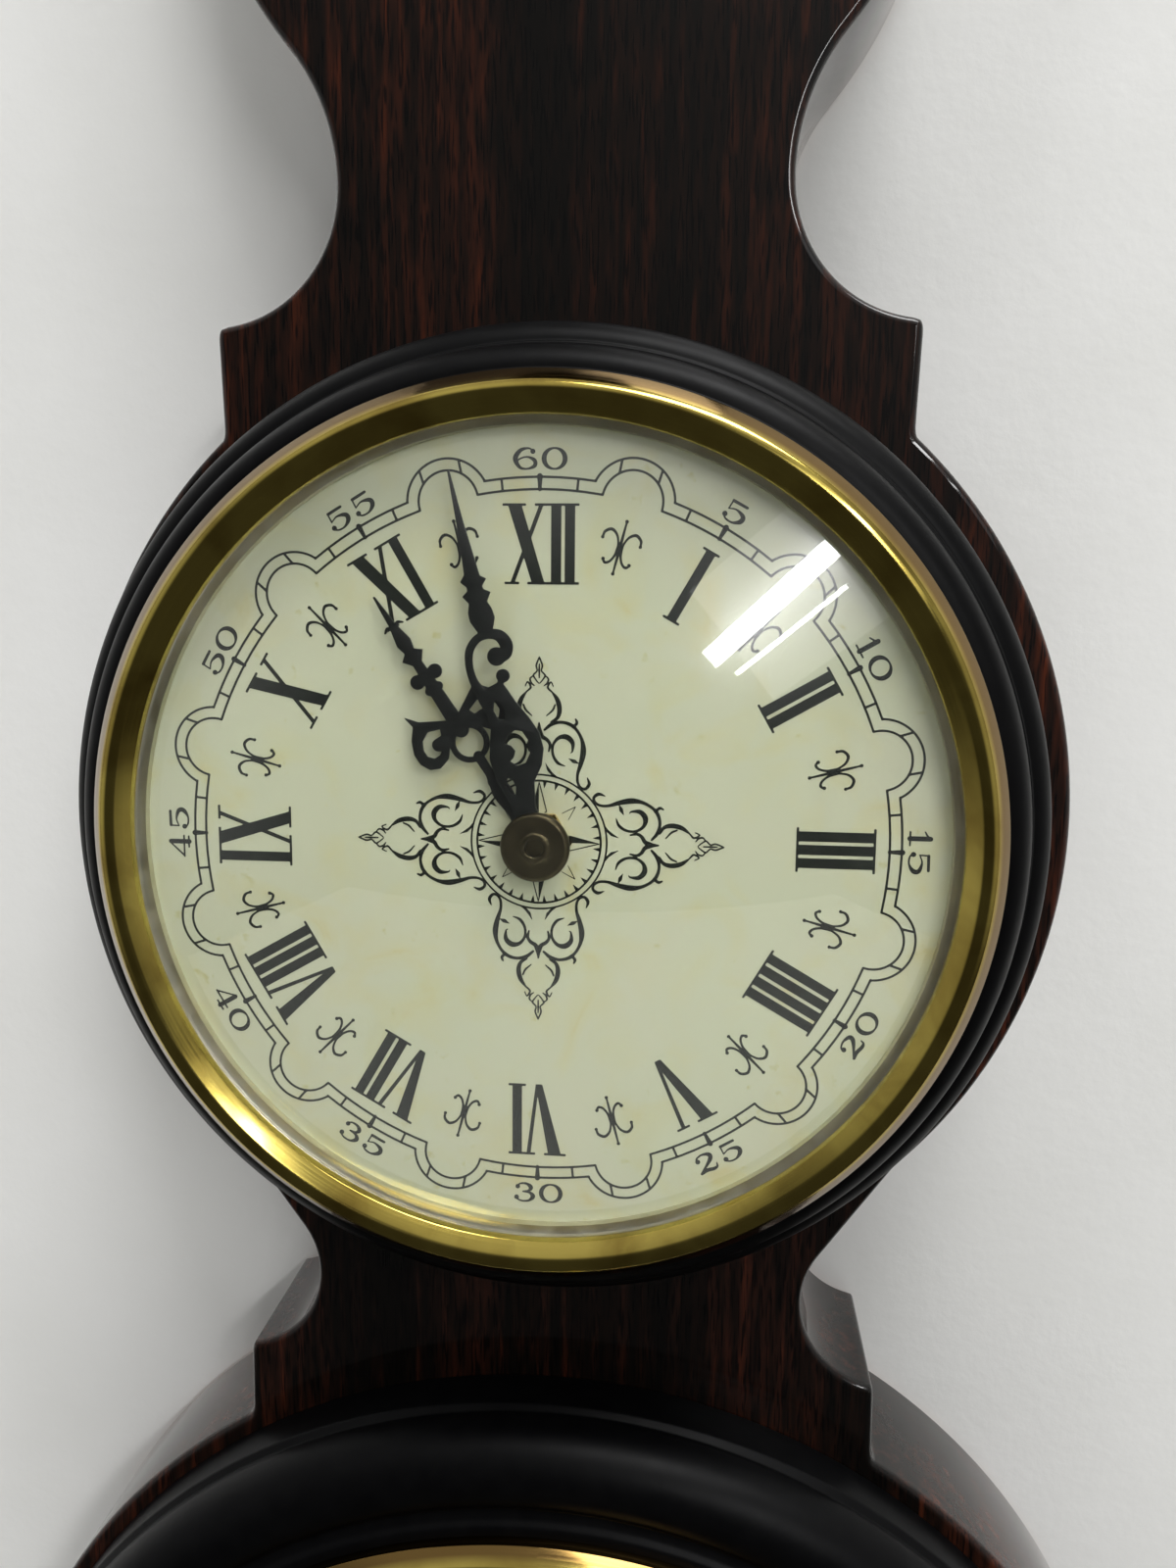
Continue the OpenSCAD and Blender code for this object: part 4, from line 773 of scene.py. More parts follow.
def repeat(piece, count, first=0.0, step=0.0, centre=0.0, shift=0.0):
    """The piece repeated: turns in degrees about the centre's height, or shifts upwards in millimetres."""
    values = {"Count": count, "First Turn": radians(first), "Turn Step": radians(step),
              "Centre": (0, 0, centre * MM), "Shift Step": (0, 0, shift * MM),
              "Finish": piece.data.materials[0]}
    rule = piece.modifiers.new("copies", "NODES")
    rule.node_group = copies
    for socket in copies.interface.items_tree:
        if socket.name in values and socket.in_out == "INPUT":
            rule[socket.identifier] = values[socket.name]
    return baked(piece)


print("copies tree inputs:", [name for name, kind in wanted])

# %% [markdown]
# ## Numerals
# The hours are Roman, 12.7 mm high: a 1.65 mm stem, hairlines 0.7 mm wide, and thin slab serifs that
# run together where stems stand close. The minutes are wide figures 3.5 mm high with ball ends.


# %% Roman numerals
TALL = 12.7
# Each stem's two edges at the foot and at the top, and each serif's two ends and height.
STEMS = {"I": [(-.82, .82, .82, -.82)], "V": [(.35, 1.5, -.75, -3), (.9, 1.45, 3.05, 2.35)],
         "X": [(1, 3.05, -.8, -3), (-2.65, -1.95, 2.9, 2.2)]}
SERIFS = {"I": [(-1.5, 1.5, 0), (-1.5, 1.5, 12.3)], "V": [(-3.8, 0, 12.3), (1.5, 3.9, 12.3)],
          "X": [(-3.8, 0, 12.3), (1.4, 3.8, 12.3), (-3.5, -1.1, 0), (.2, 3.8, 0)]}


def roman(word):
    half = {"I": 1.1, "V": 3.55, "X": 3.75}
    x, parts = -sum(half[letter] for letter in word), []
    for letter in word:
        x += half[letter]
        for a, b, c, d in STEMS[letter]:
            parts.append(("area", [(x + a, 0), (x + b, 0), (x + c, TALL), (x + d, TALL)]))
        for a, b, y in SERIFS[letter]:
            parts.append(("area", [(x + a, y), (x + b, y), (x + b, y + .4), (x + a, y + .4)]))
        x += half[letter]
    return parts


hours = "XII I II III IIII V VI VII VIII IX X XI".split()
hour_loops = []
for i, word in enumerate(hours):
    hour_loops += turned(outlines(roman(word), 0.1), 30 * i, 42.1)
print("hour numerals:", len(hours), "outlines:", len(hour_loops))


# %% Figures
def oval_stroke(cx, cy, rx, ry, thin, thick):
    turns = np.linspace(0, 2 * pi, 33)
    return ("line", [(cx + rx * cos(t), cy + ry * sin(t),
                      thin + (thick - thin) * abs(cos(t)) ** 1.5) for t in turns])


def ball(x, y, r):
    return ("line", [(x, y, 2 * r), (x + 0.001, y, 2 * r)])


six = [
    ("stroke", [(1.3, 2.9, .25), (.5, 3.33, .3), (-.8, 3.0, .6), (-1.6, 1.75, .8), (-.9, .42, .5),
        (.3, .16, .3), (1.5, .65, .6), (1.45, 1.5, .6), (.3, 2.0, .3), (-.9, 1.7, .25), (-1.3, 1.25, .2)]),
    ball(1.2, 2.85, .4)]
FIGURES = {
    "0": [oval_stroke(0, 1.75, 1.68, 1.6, .3, .78)],
    "1": [("line", [(0, .1, .8), (0, 3.35, .8)]),
        ("stroke", [(-1.1, 2.5, .25), (-.5, 2.85, .3), (0, 3.35, .3)]),
        ("line", [(-1.1, .15, .3), (1.1, .15, .3)])],
    "2": [("stroke", [(-1.3, 2.5, .25), (-1.1, 3.05, .3), (0, 3.33, .35), (1.15, 2.9, .7), (1.1, 2.2, .75),
            (.1, 1.4, .5), (-1.4, .45, .3)]), ball(-1.15, 2.5, .42),
        ("stroke", [(-1.5, .3, .5), (-.4, .5, .65), (.8, .25, .6), (1.5, .4, .4), (1.7, 1.0, .2)])],
    "3": [("stroke", [(-1.35, 2.75, .2), (-.6, 3.3, .3), (.5, 3.28, .45), (1.2, 2.65, .75), (.8, 2.05, .4),
            (-.2, 1.85, .25)]),
        ("stroke", [(-.2, 1.85, .25), (1.0, 1.7, .45), (1.55, 1.0, .8), (.8, .25, .4), (-.5, .16, .3),
            (-1.5, .65, .25)]), ball(-1.1, 2.75, .4), ball(-1.3, .8, .42)],
    "4": [("line", [(.5, 3.35, .25), (-1.7, 1.0, .3)]), ("line", [(-1.8, 1.0, .3), (1.75, 1.0, .3)]),
        ("line", [(.75, .1, .8), (.75, 3.3, .8)]), ("line", [(-.15, .17, .32), (1.65, .17, .32)])],
    "5": [("line", [(-1.1, 3.2, .5), (1.3, 3.25, .45)]), ("line", [(-1.15, 3.2, .25), (-1.2, 1.8, .25)]),
        ("stroke", [(-1.2, 1.8, .2), (0, 2.2, .3), (1.4, 1.75, .7), (1.45, .9, .75), (.4, .18, .35),
            (-.8, .2, .3), (-1.5, .7, .25)]), ball(-1.3, .8, .42)],
    "6": six,
    "7": [("line", [(-1.6, 3.2, .5), (1.6, 3.2, .5)]),
        ("stroke", [(1.5, 3.2, .3), (.5, 1.8, .5), (0, .2, .9)]),
        ("line", [(-1.6, 3.3, .25), (-1.65, 2.5, .2)])],
    "8": [oval_stroke(0, 2.6, 1.15, .75, .3, .6), oval_stroke(0, .98, 1.5, .85, .3, .75)],
    "9": [(kind, [(-x, 3.5 - y, w) for x, y, w in rows]) for kind, rows in six],
    "-": [("line", [(-1.2, 1.7, .45), (1.2, 1.7, .45)])],
}
figure_loops = {key: outlines(parts, 0.05, 0.008) for key, parts in FIGURES.items()}


def number(text, clockwise, r, size=1.0, upright=False, right=0.0, up=0.0):
    """Figures centred on a circle of this radius, tops outwards, or inwards when upright at the foot."""
    half = [1.55 if c == "1" else 2.33 for c in text]
    x, out = -sum(half), []
    for c, h in zip(text, half):
        out += turned(figure_loops[c], 0, -1.75 * size, size, (x + h) * size)
        x += 2 * h
    if upright:
        out = turned(out, 180)
    return [[(x + right, y + up) for x, y in loop] for loop in turned(turned(out, 0, r), clockwise)]


minute_loops = []
for m in range(0, 60, 5):
    minute_loops += number(str(m or 60), 6 * m, 61.7, 1.0, 20 <= m <= 40)
print("minute numbers:", len(minute_loops), "outlines")

# %% [markdown]
# ## Printed clock dial
# Between the hours sit small scrolled ornaments. A double line with a tick for each minute runs round, and
# swells outwards at every half hour. The middle has a ring of teeth with a compass star and four arms of leaf
# scroll. This is plain traditional clock ornament, so one piece of each kind is drawn and repeated.

# %% Clock dial print
def hoop(r, width, n=180):
    return [[polar(r + s * width / 2, a, 0)[:2] for a in np.arange(n) * 360 / n] for s in (1, -1)]


def polar(r, a, w):
    return (r * sin(radians(a)), r * cos(radians(a)), w)


def mirrored(parts):
    return parts + [(kind, [(-r[0], *r[1:]) for r in rows]) for kind, rows in parts]


TRACK = 57.0


def swell(r, lobe, w=0.38):
    """One twelfth of a track line: straight arc, lobe about the half hour, straight arc."""
    lobe_at = radians(15)
    reach = degrees(2 * asin(lobe / 2 / 57.9)) - (0.35 if r > TRACK else -0.1)
    rows = [polar(r, a, w) for a in np.linspace(-0.05, 15 - reach, 14)]
    (x, y), (cx, cy) = rows[-1][:2], (TRACK * sin(lobe_at), TRACK * cos(lobe_at))
    side = acos(max(-1, min(1, ((x - cx) * sin(lobe_at) + (y - cy) * cos(lobe_at)) / lobe)))
    for t in np.linspace(-side, side, 30):
        rows.append((cx + lobe * sin(t + lobe_at), cy + lobe * cos(t + lobe_at), w))
    return ("line", rows + [polar(r, a, w) for a in np.linspace(15 + reach, 30.05, 14)])


track = [swell(TRACK, 4.85), swell(58.9, 6.7), ("line", [polar(56.9, 0, .5), polar(59.0, 0, .9)])]
track += [("line", [polar(TRACK, a, .4), polar(58.9, a, .4)]) for a in (6, 24)]
track += [("line", [polar(60.7, a, .4), polar(62.7, a, .4)]) for a in (12, 18)]
scroll = [
    ("stroke", [(3.1, 50.6, .35), (2.95, 51.5, .45), (2.0, 52.1, .5), (1.0, 51.5, .4), (.45, 50.3, .35),
        (.3, 49.3, .55), (.5, 48.2, .4), (1.0, 47.2, .4), (1.7, 46.8, .45), (2.2, 47.25, .35)]),
    ball(2.15, 47.3, .3), ball(3.1, 50.55, .28)]
scroll = mirrored(scroll) + [
    ("stroke", [(0, 45.4, .3), (0, 47.5, .42), (0, 49.6, .5), (0, 51.8, .42), (0, 53.8, .3)]),
    ball(0, 45.4, .3), ball(0, 53.8, .3)]
leaf = [
    ("stroke", [(8.0, 10.9, .2), (8.3, 9.9, .55), (7.7, 9.1, .5), (6.9, 9.3, .45), (6.4, 10.2, .45),
        (6.4, 11.6, .5), (6.9, 13.2, .75), (7.3, 15.2, .95), (7.1, 17.0, .6), (6.3, 18.6, .5),
        (5.2, 19.6, .6), (3.6, 20.0, .5), (2.0, 19.6, .6), (.9, 18.7, .4)]),
    ("stroke", [(4.3, 12.8, .15), (3.1, 13.3, .5), (2.3, 14.6, .45), (2.3, 16.2, .45), (3.2, 17.4, .6),
        (4.5, 17.6, .9), (5.5, 16.7, .75), (5.5, 15.3, .3), (5.2, 15.0, .15)]),
    ("area", [(1.0, 13.4), (1.35, 12.0), (2.2, 11.1), (3.4, 10.7), (2.3, 11.6), (1.6, 12.5)]),
    ("area", [(4.8, 14.1), (5.6, 13.3), (6.7, 13.2), (6.0, 13.9)]),
    ("stroke", [(0, 18.6, .9), (.5, 17.6, .7), (1.3, 17.1, .6), (1.8, 16.3, .5), (1.6, 15.2, .3)]),
    ("stroke", [(5.6, 19.2, .5), (6.2, 19.9, .5), (6.0, 20.5, .3)]),
    ("stroke", [(2.0, 20.0, .4), (3.0, 20.7, .6), (3.35, 22.0, .8), (3.0, 23.6, .75), (2.1, 24.9, .25)]),
    ("stroke", [(1.2, 21.0, .2), (2.2, 21.9, .35), (2.6, 22.8, .3)]),
    ("stroke", [(2.2, 24.8, .25), (1.4, 25.6, .35), (1.9, 26.5, .25), (2.3, 25.8, .2)]),
    ("stroke", [(.1, 26.3, .2), (.6, 26.9, .25), (.95, 27.6, .3), (.35, 28.3, .25), (.5, 29.2, .3),
        (0, 30.5, .25)]),
    ("stroke", [(.8, 25.9, .2), (1.3, 26.3, .3), (1.5, 27.0, .3), (1.0, 27.5, .2)]),
    ("stroke", [(0, 27.2, .25), (0, 28.6, .3), (0, 29.4, .2)]),
    ("stroke", [(0, 18.4, .9), (0, 19.3, .5), (0, 19.8, .3)])]
arm = mirrored(leaf)
tooth = [("area", [(-.38, 10.35), (0, 9.0), (.38, 10.35)])]
star = [("area", [(0, 10.2), (-1.3, 5), (0, 5)]),
        ("line", [(.05, 10.0, .18), (1.3, 5.2, .18), (1.0, 5.0, .18)])]
hairline = [("line", [(-.75, 6.2, .12), (0, 8.6, .14), (.75, 6.2, .12)])]
film = dict(depth=CLOCK_DIAL, thick=FILM, z=CLOCK_Z, material=ink)
prints = [cutout("hours", hour_loops, **film), cutout("minutes", minute_loops, **film),
          repeat(cutout("track", outlines(track), **film), 12, 0, 30, CLOCK_Z),
          repeat(cutout("scroll", outlines(scroll, 0.07), **film), 12, 15, 30, CLOCK_Z),
          repeat(cutout("arm", outlines(arm, 0.08), **film), 4, 0, 90, CLOCK_Z),
          cutout("rings", hoop(11.3, .3) + hoop(10.3, .35), **film),
          repeat(cutout("tooth", outlines(tooth, 0.05), **film), 32, 5.6, 11.25, CLOCK_Z),
          repeat(cutout("star", outlines(star, 0.05), **film), 4, 0, 90, CLOCK_Z),
          repeat(cutout("hairline", outlines(hairline, 0.05), **film), 4, 45, 90, CLOCK_Z)]
clock_print = joined("clock_dial_print", prints)
dress(clock_print, "case")
print("clock print faces:", len(clock_print.data.polygons))

# %% [markdown]
# ## Pierced clock hands
# The hands are stamped from steel and blackened, in a scrolled pattern: a heart and ring on the hour hand,
# two open loops on the minute hand, and a crowned leaf before each point. They rest at about five to eleven.

# %% Hour and minute hands
lobe = [
    ("area", [(0, 24.3), (-1.2, 25.0), (-5.3, 27.3), (-6.9, 29.2), (-6.5, 27.1), (-8.0, 25.3), (-8.9, 23.2),
        (-8.9, 21.3), (-8.0, 19.7), (-6.4, 19.0), (-4.4, 19.6), (-3.2, 21.0), (-1.5, 22.6), (0, 23.2)]),
    ("hole", [(-2.9, 24.4), (-4.9, 25.1), (-6.5, 24.3), (-7.2, 23.0), (-7.2, 21.8), (-6.4, 20.9),
        (-5.2, 20.9), (-4.0, 21.8)])]
eye = [("stroke", [(-2.2, 23.2, 1.2), (-3.4, 22.8, 1.3), (-4.5, 22.4, 2.2)])]
hour_shape = lobe + [(kind, [(-x, y) for x, y in rows]) for kind, rows in lobe] + mirrored(eye) + [
    ("line", [(0, 22.5, 2.6), (0, 30, 2.2), (0, 36, 1.6)]),
    *mirrored([ball(-1.7, 32.7, 1.2), ball(-.8, 30.4, .8)]),
    ("area", [(-2.0, 36.7), (-.8, 35.2), (.8, 35.2), (2.0, 36.7), (.9, 37.6), (1.3, 39.2), (1.0, 40.6),
        (.55, 42.6), (-.55, 42.6), (-1.0, 40.6), (-1.3, 39.2), (-.9, 37.6)]),
    *mirrored([("stroke", [(-.2, 41.9, .7), (-1.0, 42.5, .55), (-1.7, 42.1, .3)])]),
    ("line", [(0, 41, 1.3), (0, 44, .95), (0, 47.8, .3)]), oval_stroke(0, 20.0, 2.85, 2.85, .95, .95),
    ("line", [(0, 17.4, 1.6), (0, 14, 1.5), (0, 10.6, 3.2), (0, 9.6, 3.2), (0, 6.5, 2.4), (0, 2, 4.4)]),
    oval_stroke(0, 0, 3.2, 3.2, 1.6, 1.6)]
minute_shape = [
    ("area", [(.6, 34.6), (1.4, 36.0), (1.95, 37.4), (1.8, 38.9), (1.3, 40.1), (2.2, 41.4), (1.2, 42.1),
        (1.1, 42.6), (2.0, 43.6), (1.1, 44.3), (.95, 46.5), (.45, 53.5), (.16, 61.2), (-.16, 61.2),
        (-.6, 53.5), (-1.15, 46.5), (-1.3, 44.9), (-2.2, 43.9), (-1.4, 42.9), (-1.4, 42.3), (-2.4, 41.6),
        (-1.6, 40.3), (-2.1, 38.9), (-2.1, 37.5), (-1.5, 36.1), (-.8, 34.6)]),
    ("stroke", [(-3.1, 26.4, 1.7), (-3.75, 28.4, 1.3), (-3.85, 30.9, 1.2), (-3.2, 33.2, 1.3),
        (-1.6, 34.7, 1.3), (.4, 35.0, 1.5), (2.0, 34.4, 1.9), (2.75, 32.9, 2.1), (2.4, 31.5, 1.9),
        (1.4, 31.1, 2.0)]), ball(.8, 31.3, 1.5),
    ("stroke", [(-1.2, 26.0, 1.8), (.2, 26.8, 1.1), (1.0, 27.9, 1.0)]), ball(1.1, 28.1, 1.1),
    ("area", [(-3.9, 27.4), (-3.7, 25.0), (-2.9, 22.4), (-2.7, 20.4), (-3.4, 18.2), (-4.1, 15.4),
        (-3.8, 12.0), (-2.4, 7.6), (-2.0, 3), (2.0, 3), (1.5, 6.6), (2.2, 10.4), (4.0, 12.8), (4.9, 15.4),
        (4.8, 18.0), (3.7, 20.8), (2.2, 23.6), (.9, 26.8), (-1.4, 26.2)]),
    ("hole", [(1.0, 19.2), (-.4, 18.5), (-1.1, 17.4), (-.2, 16.9), (.3, 15.9), (-.2, 14.9), (-.9, 14.4),
        (.1, 13.5), (1.5, 13.7), (2.6, 15.1), (2.8, 17.1), (2.1, 18.8)]),
    ("hole", [(-1.9, 11.9), (-2.6, 10.9), (-2.1, 9.3), (-1.3, 8.9), (-.9, 10.2), (-1.2, 11.5)]),
    ("hole", [(-1.2, 24.6), (-1.7, 23.0), (-1.2, 21.4), (-.2, 21.2), (.2, 22.4), (-.2, 23.9)]),
    oval_stroke(0, 0, 2.75, 2.75, 2.2, 2.2)]


def stamped(old, shape, angle, depth, bore_r, z, material, body, size=1.0):
    """A hand cut from sheet: its shape with a round bore, made larger, turned and stood at its depth."""
    bore_r /= size
    hole = ("hole", [(bore_r * cos(t), bore_r * sin(t)) for t in np.linspace(0, 6.2832, 49)[:-1]])
    loops = turned(turned(outlines(shape + [hole], 0.08), 0, 0, size), angle)
    made = cutout(old + "_pierced", loops, depth, STEEL, z, material, HAND_BEVEL)
    dress(made, body, old)


stamped("hour_hand", hour_shape, HOUR_REST, 61.0, 2.33, CLOCK_Z, blackened, "hour_works")
stamped("minute_hand", minute_shape, MINUTE_REST, 62.6, 1.52, CLOCK_Z, blackened, "minute_works")

# %% [markdown]
# The nut that holds the hands is a bronzed button with a soft dished face. The setting knob of the
# barometer is turned brass, and fine ribs round its rim give the fingers a grip.

# %% Hand nut and knob
nut = lathe("hand_nut_turned", [(1.5, 63.2), (5.7, 63.2)] + arc(4.75, 63.65, 0.95, 0, 80, 8)
            + [(3.4, 64.35), (2.5, 64.45), (2.2, 64.7), (1.7, 64.7), (1.5, 64.5)], CLOCK_Z, bronzed, soft=0.15)
dress(nut, "minute_works", "hand_nut")
knob = lathe("setting_knob_body",
             [(0, 59.95), (1.5, 59.95), (1.5, 72.0), (3.6, 72.05), (3.9, 73.6), (5.7, 74.2), (6.25, 74.9),
              (6.25, 78.7)] + arc(5.0, 78.9, 1.2, 0, 80, 8) + [(4.4, 80.0), (2.0, 80.3), (0, 80.45)],
             BARO_Z, turned_brass, soft=0.2, steps=120)
rib = slab("rib", [(-.16, 6.1), (.16, 6.1), (.1, 6.5), (-.1, 6.5)],
           [(0.02, 75.1), (0, 75.2), (0, 78.4), (0.02, 78.5)], BARO_Z, turned_brass)
knob = joined("set_knob_knurled", [knob, repeat(rib, 60, 0, 6, BARO_Z)])
dress(knob, "set_pointer", "set_knob")
print("nut faces:", len(nut.data.polygons), "knob faces:", len(knob.data.polygons))

# %% [markdown]
# ## Barometer dial and hands
# The barometer card has plain numbers: 28 to 31 inches of mercury on the outer ring, and 960 to 1040
# millibars within. A tick stands at each fiftieth of an inch. The blackened hand shows the pressure, and the
# brass one is set by the knob to mark where it stood.

# %% Barometer print
film = dict(depth=BARO_DIAL, thick=FILM, z=BARO_Z, material=ink)
PER_INCH, MB_PER_INCH, TOP_INCH = 100, 33.8639, 29.5


def angle_at(inches):
    """The dial's angle in degrees for a pressure in inches of mercury."""
    return (inches - TOP_INCH) * PER_INCH


def ticks(r1, r2, wide, count, first, step):
    shape = [[(-wide / 2, r1), (wide / 2, r1), (wide / 2, r2), (-wide / 2, r2)]]
    return repeat(cutout("tick", shape, **film), count, first, step, BARO_Z)


inch_loops, bar_loops = [], []
for inches in (28, 29, 30, 31):
    inch_loops += number(str(inches), angle_at(inches), 77.5, 2.0, abs(angle_at(inches)) > 90)
for inches in (28.5, 29.5, 30.5):
    inch_loops += number("5", angle_at(inches), 77.0, 1.25)
for mb in range(960, 1050, 10):
    angle = angle_at(mb / MB_PER_INCH)
    bar_loops += number(str(mb), angle, 60.6, 0.95, abs(angle) > 90)
prints = [cutout("inches", inch_loops, **film), cutout("millibars", bar_loops, **film),
          cutout("tracks", [p for r in (88.6, 84.6, 70.0, 66.2) for p in hoop(r, .35)], **film),
          ticks(84.6, 88.6, .3, 151, -150, 2), ticks(82.4, 88.6, .75, 31, -150, 10),
          ticks(66.2, 70, .28, 96, angle_at(955 / MB_PER_INCH), PER_INCH / MB_PER_INCH),
          ticks(64.8, 70, .6, 9, angle_at(960 / MB_PER_INCH), 10 * PER_INCH / MB_PER_INCH),
          repeat(cutout("scroll", turned(outlines(scroll, 0.07), 0, -13), **film), 6, 30, 60, BARO_Z),
          repeat(cutout("arm", outlines(arm, 0.08), **film), 4, 45, 90, BARO_Z),
          cutout("rings", hoop(11.3, .3) + hoop(10.3, .35), **film)]
baro_print = joined("barometer_dial_print", prints)
dress(baro_print, "case")
print("barometer print faces:", len(baro_print.data.polygons))

# %% Barometer hands
pressure_shape = [
    ("line", [(0, 5, 3.0), (0, 20, 2.3), (0, 44, 1.8)]), ("line", [(0, -5, 3.0), (0, -13.8, 2.3)]),
    ("area", [(-.9, 43), (-1.8, 45.2), (-3.0, 46.3), (-2.6, 49), (-.95, 56), (-.3, 68), (.3, 68), (.95, 56),
        (2.6, 49), (3.0, 46.3), (1.8, 45.2), (.9, 43)]), oval_stroke(0, -19, 4.4, 4.4, 1.5, 2.4),
    *mirrored([ball(-2.1, 24, .9), ball(-1.7, 40.6, .8)]), ball(0, 0, 4.9)]
set_shape = [
    ("line", [(0, 3, 2.4), (0, 44, 1.4)]), oval_stroke(0, 45.9, 2.6, 2.6, 1.2, 1.2),
    ("line", [(0, 48.2, 2.2), (0, 55, 1.1), (0, 61.7, .5)]),
    ("line", [(0, -3, 2.8), (0, -18, 4.0), (0, -18.6, 2.6)]), *mirrored([ball(-1.3, 24, .8)]),
    ball(0, 0, 3.9)]
for old, shape, angle, depth, bore_r, body, material, slot in (
        ("pressure_hand", pressure_shape, 18, 54.05, 0.9, "pointer", blackened, "blackened_steel"),
        ("set_hand", set_shape, -28, 59.95, 1.5, "set_pointer", pressed_brass, "polished_brass")):
    rise = max(abs(corner[2] - BARO_Z * MM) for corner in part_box(old)) / MM
    tip = max(r[1] for kind, rows in shape for r in rows) + 0.2
    stamped(old, shape, angle, depth, bore_r, BARO_Z, material, body,
            rise / cos(radians(angle)) / tip)

# %% [markdown]
# ## Thermometer scale and tube
# The plate carries a degree scale on both sides of the tube, one tick a degree, numbered each ten from -20
# to 50. The tube is drawn glass, closed by a round nib at the top and blown into a bulb at the foot. The red
# column is as long as its solid.

# %% Thermometer print and glass
DEGREE, COLDEST, WARMEST, BULB_Z = 1.23, -20, 50, THERMO_Z - 54
ZERO, SCALE_X, TUBE_DEPTH = BULB_Z + 12 - COLDEST * DEGREE, 4.4, BOARD_FRONT + 9.3
film = dict(depth=BOARD_FRONT + 4.8, thick=FILM, z=ZERO, material=ink)


def block(name, x1, x2, low, high):
    return cutout(name, [[(x1, low), (x2, low), (x2, high), (x1, high)]], **film)


prints = []
for side in (1, -1):
    for reach, wide, count, every in ((6.2, .22, 71, 1), (7.2, .3, 15, 5), (8.2, .45, 8, 10)):
        mark = block("dash", *sorted((side * SCALE_X, side * reach)), -wide / 2, wide / 2)
        mark.data.transform(Matrix.Translation((0, 0, COLDEST * DEGREE * MM)))
        prints.append(repeat(mark, count, 0, 0, 0, every * DEGREE))
    prints.append(block("edge", side * SCALE_X - .12, side * SCALE_X + .12, COLDEST * DEGREE, WARMEST * DEGREE))
scale_loops = []
for value in range(COLDEST, WARMEST + 10, 10):
    for side in (-1, 1):
        scale_loops += number(str(value), 0, 0, 0.62, False, side * 12.1, value * DEGREE)
prints.append(cutout("degrees", scale_loops, **film))
scale_print = joined("thermometer_scale_print", prints)
dress(scale_print, "case")


def upright(name, section, depth, z, material, steps=48):
    """A turned piece that stands up along z; the section is radius and height, in millimetres."""
    pts = softened(section, 0.1)
    n = len(pts)
    verts = [(r * cos(t) * MM, (r * sin(t) - depth) * MM, (z + h) * MM)
             for t in np.arange(steps) * 2 * pi / steps for r, h in pts]
    faces = [(i * n + j, i * n + (j + 1) % n, (i + 1) % steps * n + (j + 1) % n, (i + 1) % steps * n + j)
             for i in range(steps) for j in range(n)]
    return solid(name, verts, faces, material)


def top_of(old):
    """How high above the bulb's centre a solid ends."""
    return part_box(old)[1][2] * 1000 - BULB_Z


STEM_R, BULB_R = 2.6, 4.2
top, fill = top_of("thermo_tube"), top_of("alcohol_column")
neck = degrees(asin(STEM_R / BULB_R))
section = ([(0, -BULB_R)] + arc(0, 0, BULB_R, -88, 90 - neck - 4, 22)
           + [(2.62, 4.2), (STEM_R, 5.0), (STEM_R, top - STEM_R)] + arc(0, top - STEM_R, STEM_R, 4, 88, 8)
           + [(0, top), (0, top - 3.2), (0.9, top - 3.6), (0.9, 3.2)] + arc(0, 0, 3.3, 74, -88, 20)
           + [(0, -3.3)])
drop = [(0, -3.2)] + arc(0, 0, 3.2, -88, 76, 22) + [(0.8, 3.5), (0.8, fill - 0.2), (0, fill)]
tube_piece = upright("thermometer_tube_blown", section, TUBE_DEPTH, BULB_Z, tube_glass)
column = upright("alcohol_drop", drop, TUBE_DEPTH, BULB_Z, red_alcohol, 32)
dress(tube_piece, "case", "thermo_tube")
dress(column, "case", "alcohol_column")

# %% [markdown]
# ## Finishes for the pieces that stay as drawn
# The works, screws, dials and covers keep the solids' own shapes. Each gets the finish of its real part.

# %% Finishes by piece
by_finish = {
    pressed_brass: "hanger_plate bush_nut centre_bush pillars adjusting_screw glass_bush set_knob set_hand "
                   "plate_screws tube_clips thermo_frame",
    bezel_brass: "clock_bezel baro_bezel",
    satin_black: "clock_ring baro_ring thermo_surround", mahogany: "case_board", felt: "wall_pads",
    dome_glass: "clock_glass baro_glass", ivory: "clock_dial baro_dial scale_plate",
    silvered: "clock_spacer baro_spacer", blackened: "hour_hand minute_hand pressure_hand",
    bronzed: "hand_nut minute_arbor", black_plastic: "movement_case movement_cover setting_knob",
    grey_plastic: "drive_unit", battery_film: "battery",
    zinc_steel: "battery_contacts minute_wheel_post hanger_screws clock_ring_screws baro_ring_screws "
                "surround_screws hand_arbor sector_pivot capsule_post pull_lever",
    rolled_brass: "minute_wheel hour_wheel sector arbor_cock top_plate base_plate",
    spring_steel: "hairspring bridge_spring", nickel_silver: "capsule", tin_plate: "dust_can",
    tube_glass: "thermo_tube", red_alcohol: "alcohol_column",
}
dressed = 0
for material, names in by_finish.items():
    for name in names.split():
        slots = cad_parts[name].material_slots
        if not slots:
            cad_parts[name].data.materials.append(material)
        for each in slots:
            each.material = material
        dressed += 1
print("pieces with a finish:", dressed, "of", len(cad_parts))

# %% [markdown]
# ## Room, lamps and backdrop
# The station hangs on a pale painted wall. Two tube lamps high on the right draw the two streaks on the dome,
# with a faint wide glow behind them. A soft ceiling light does most of the work, one on the left fills, and
# one behind shows the back. The wall can't be seen from behind, so the back of the board can be looked at.
# The world is pale above, at both sides and behind the wall, and dark in front and below, so that the gloss
# lacquer and brass have dark to mirror.

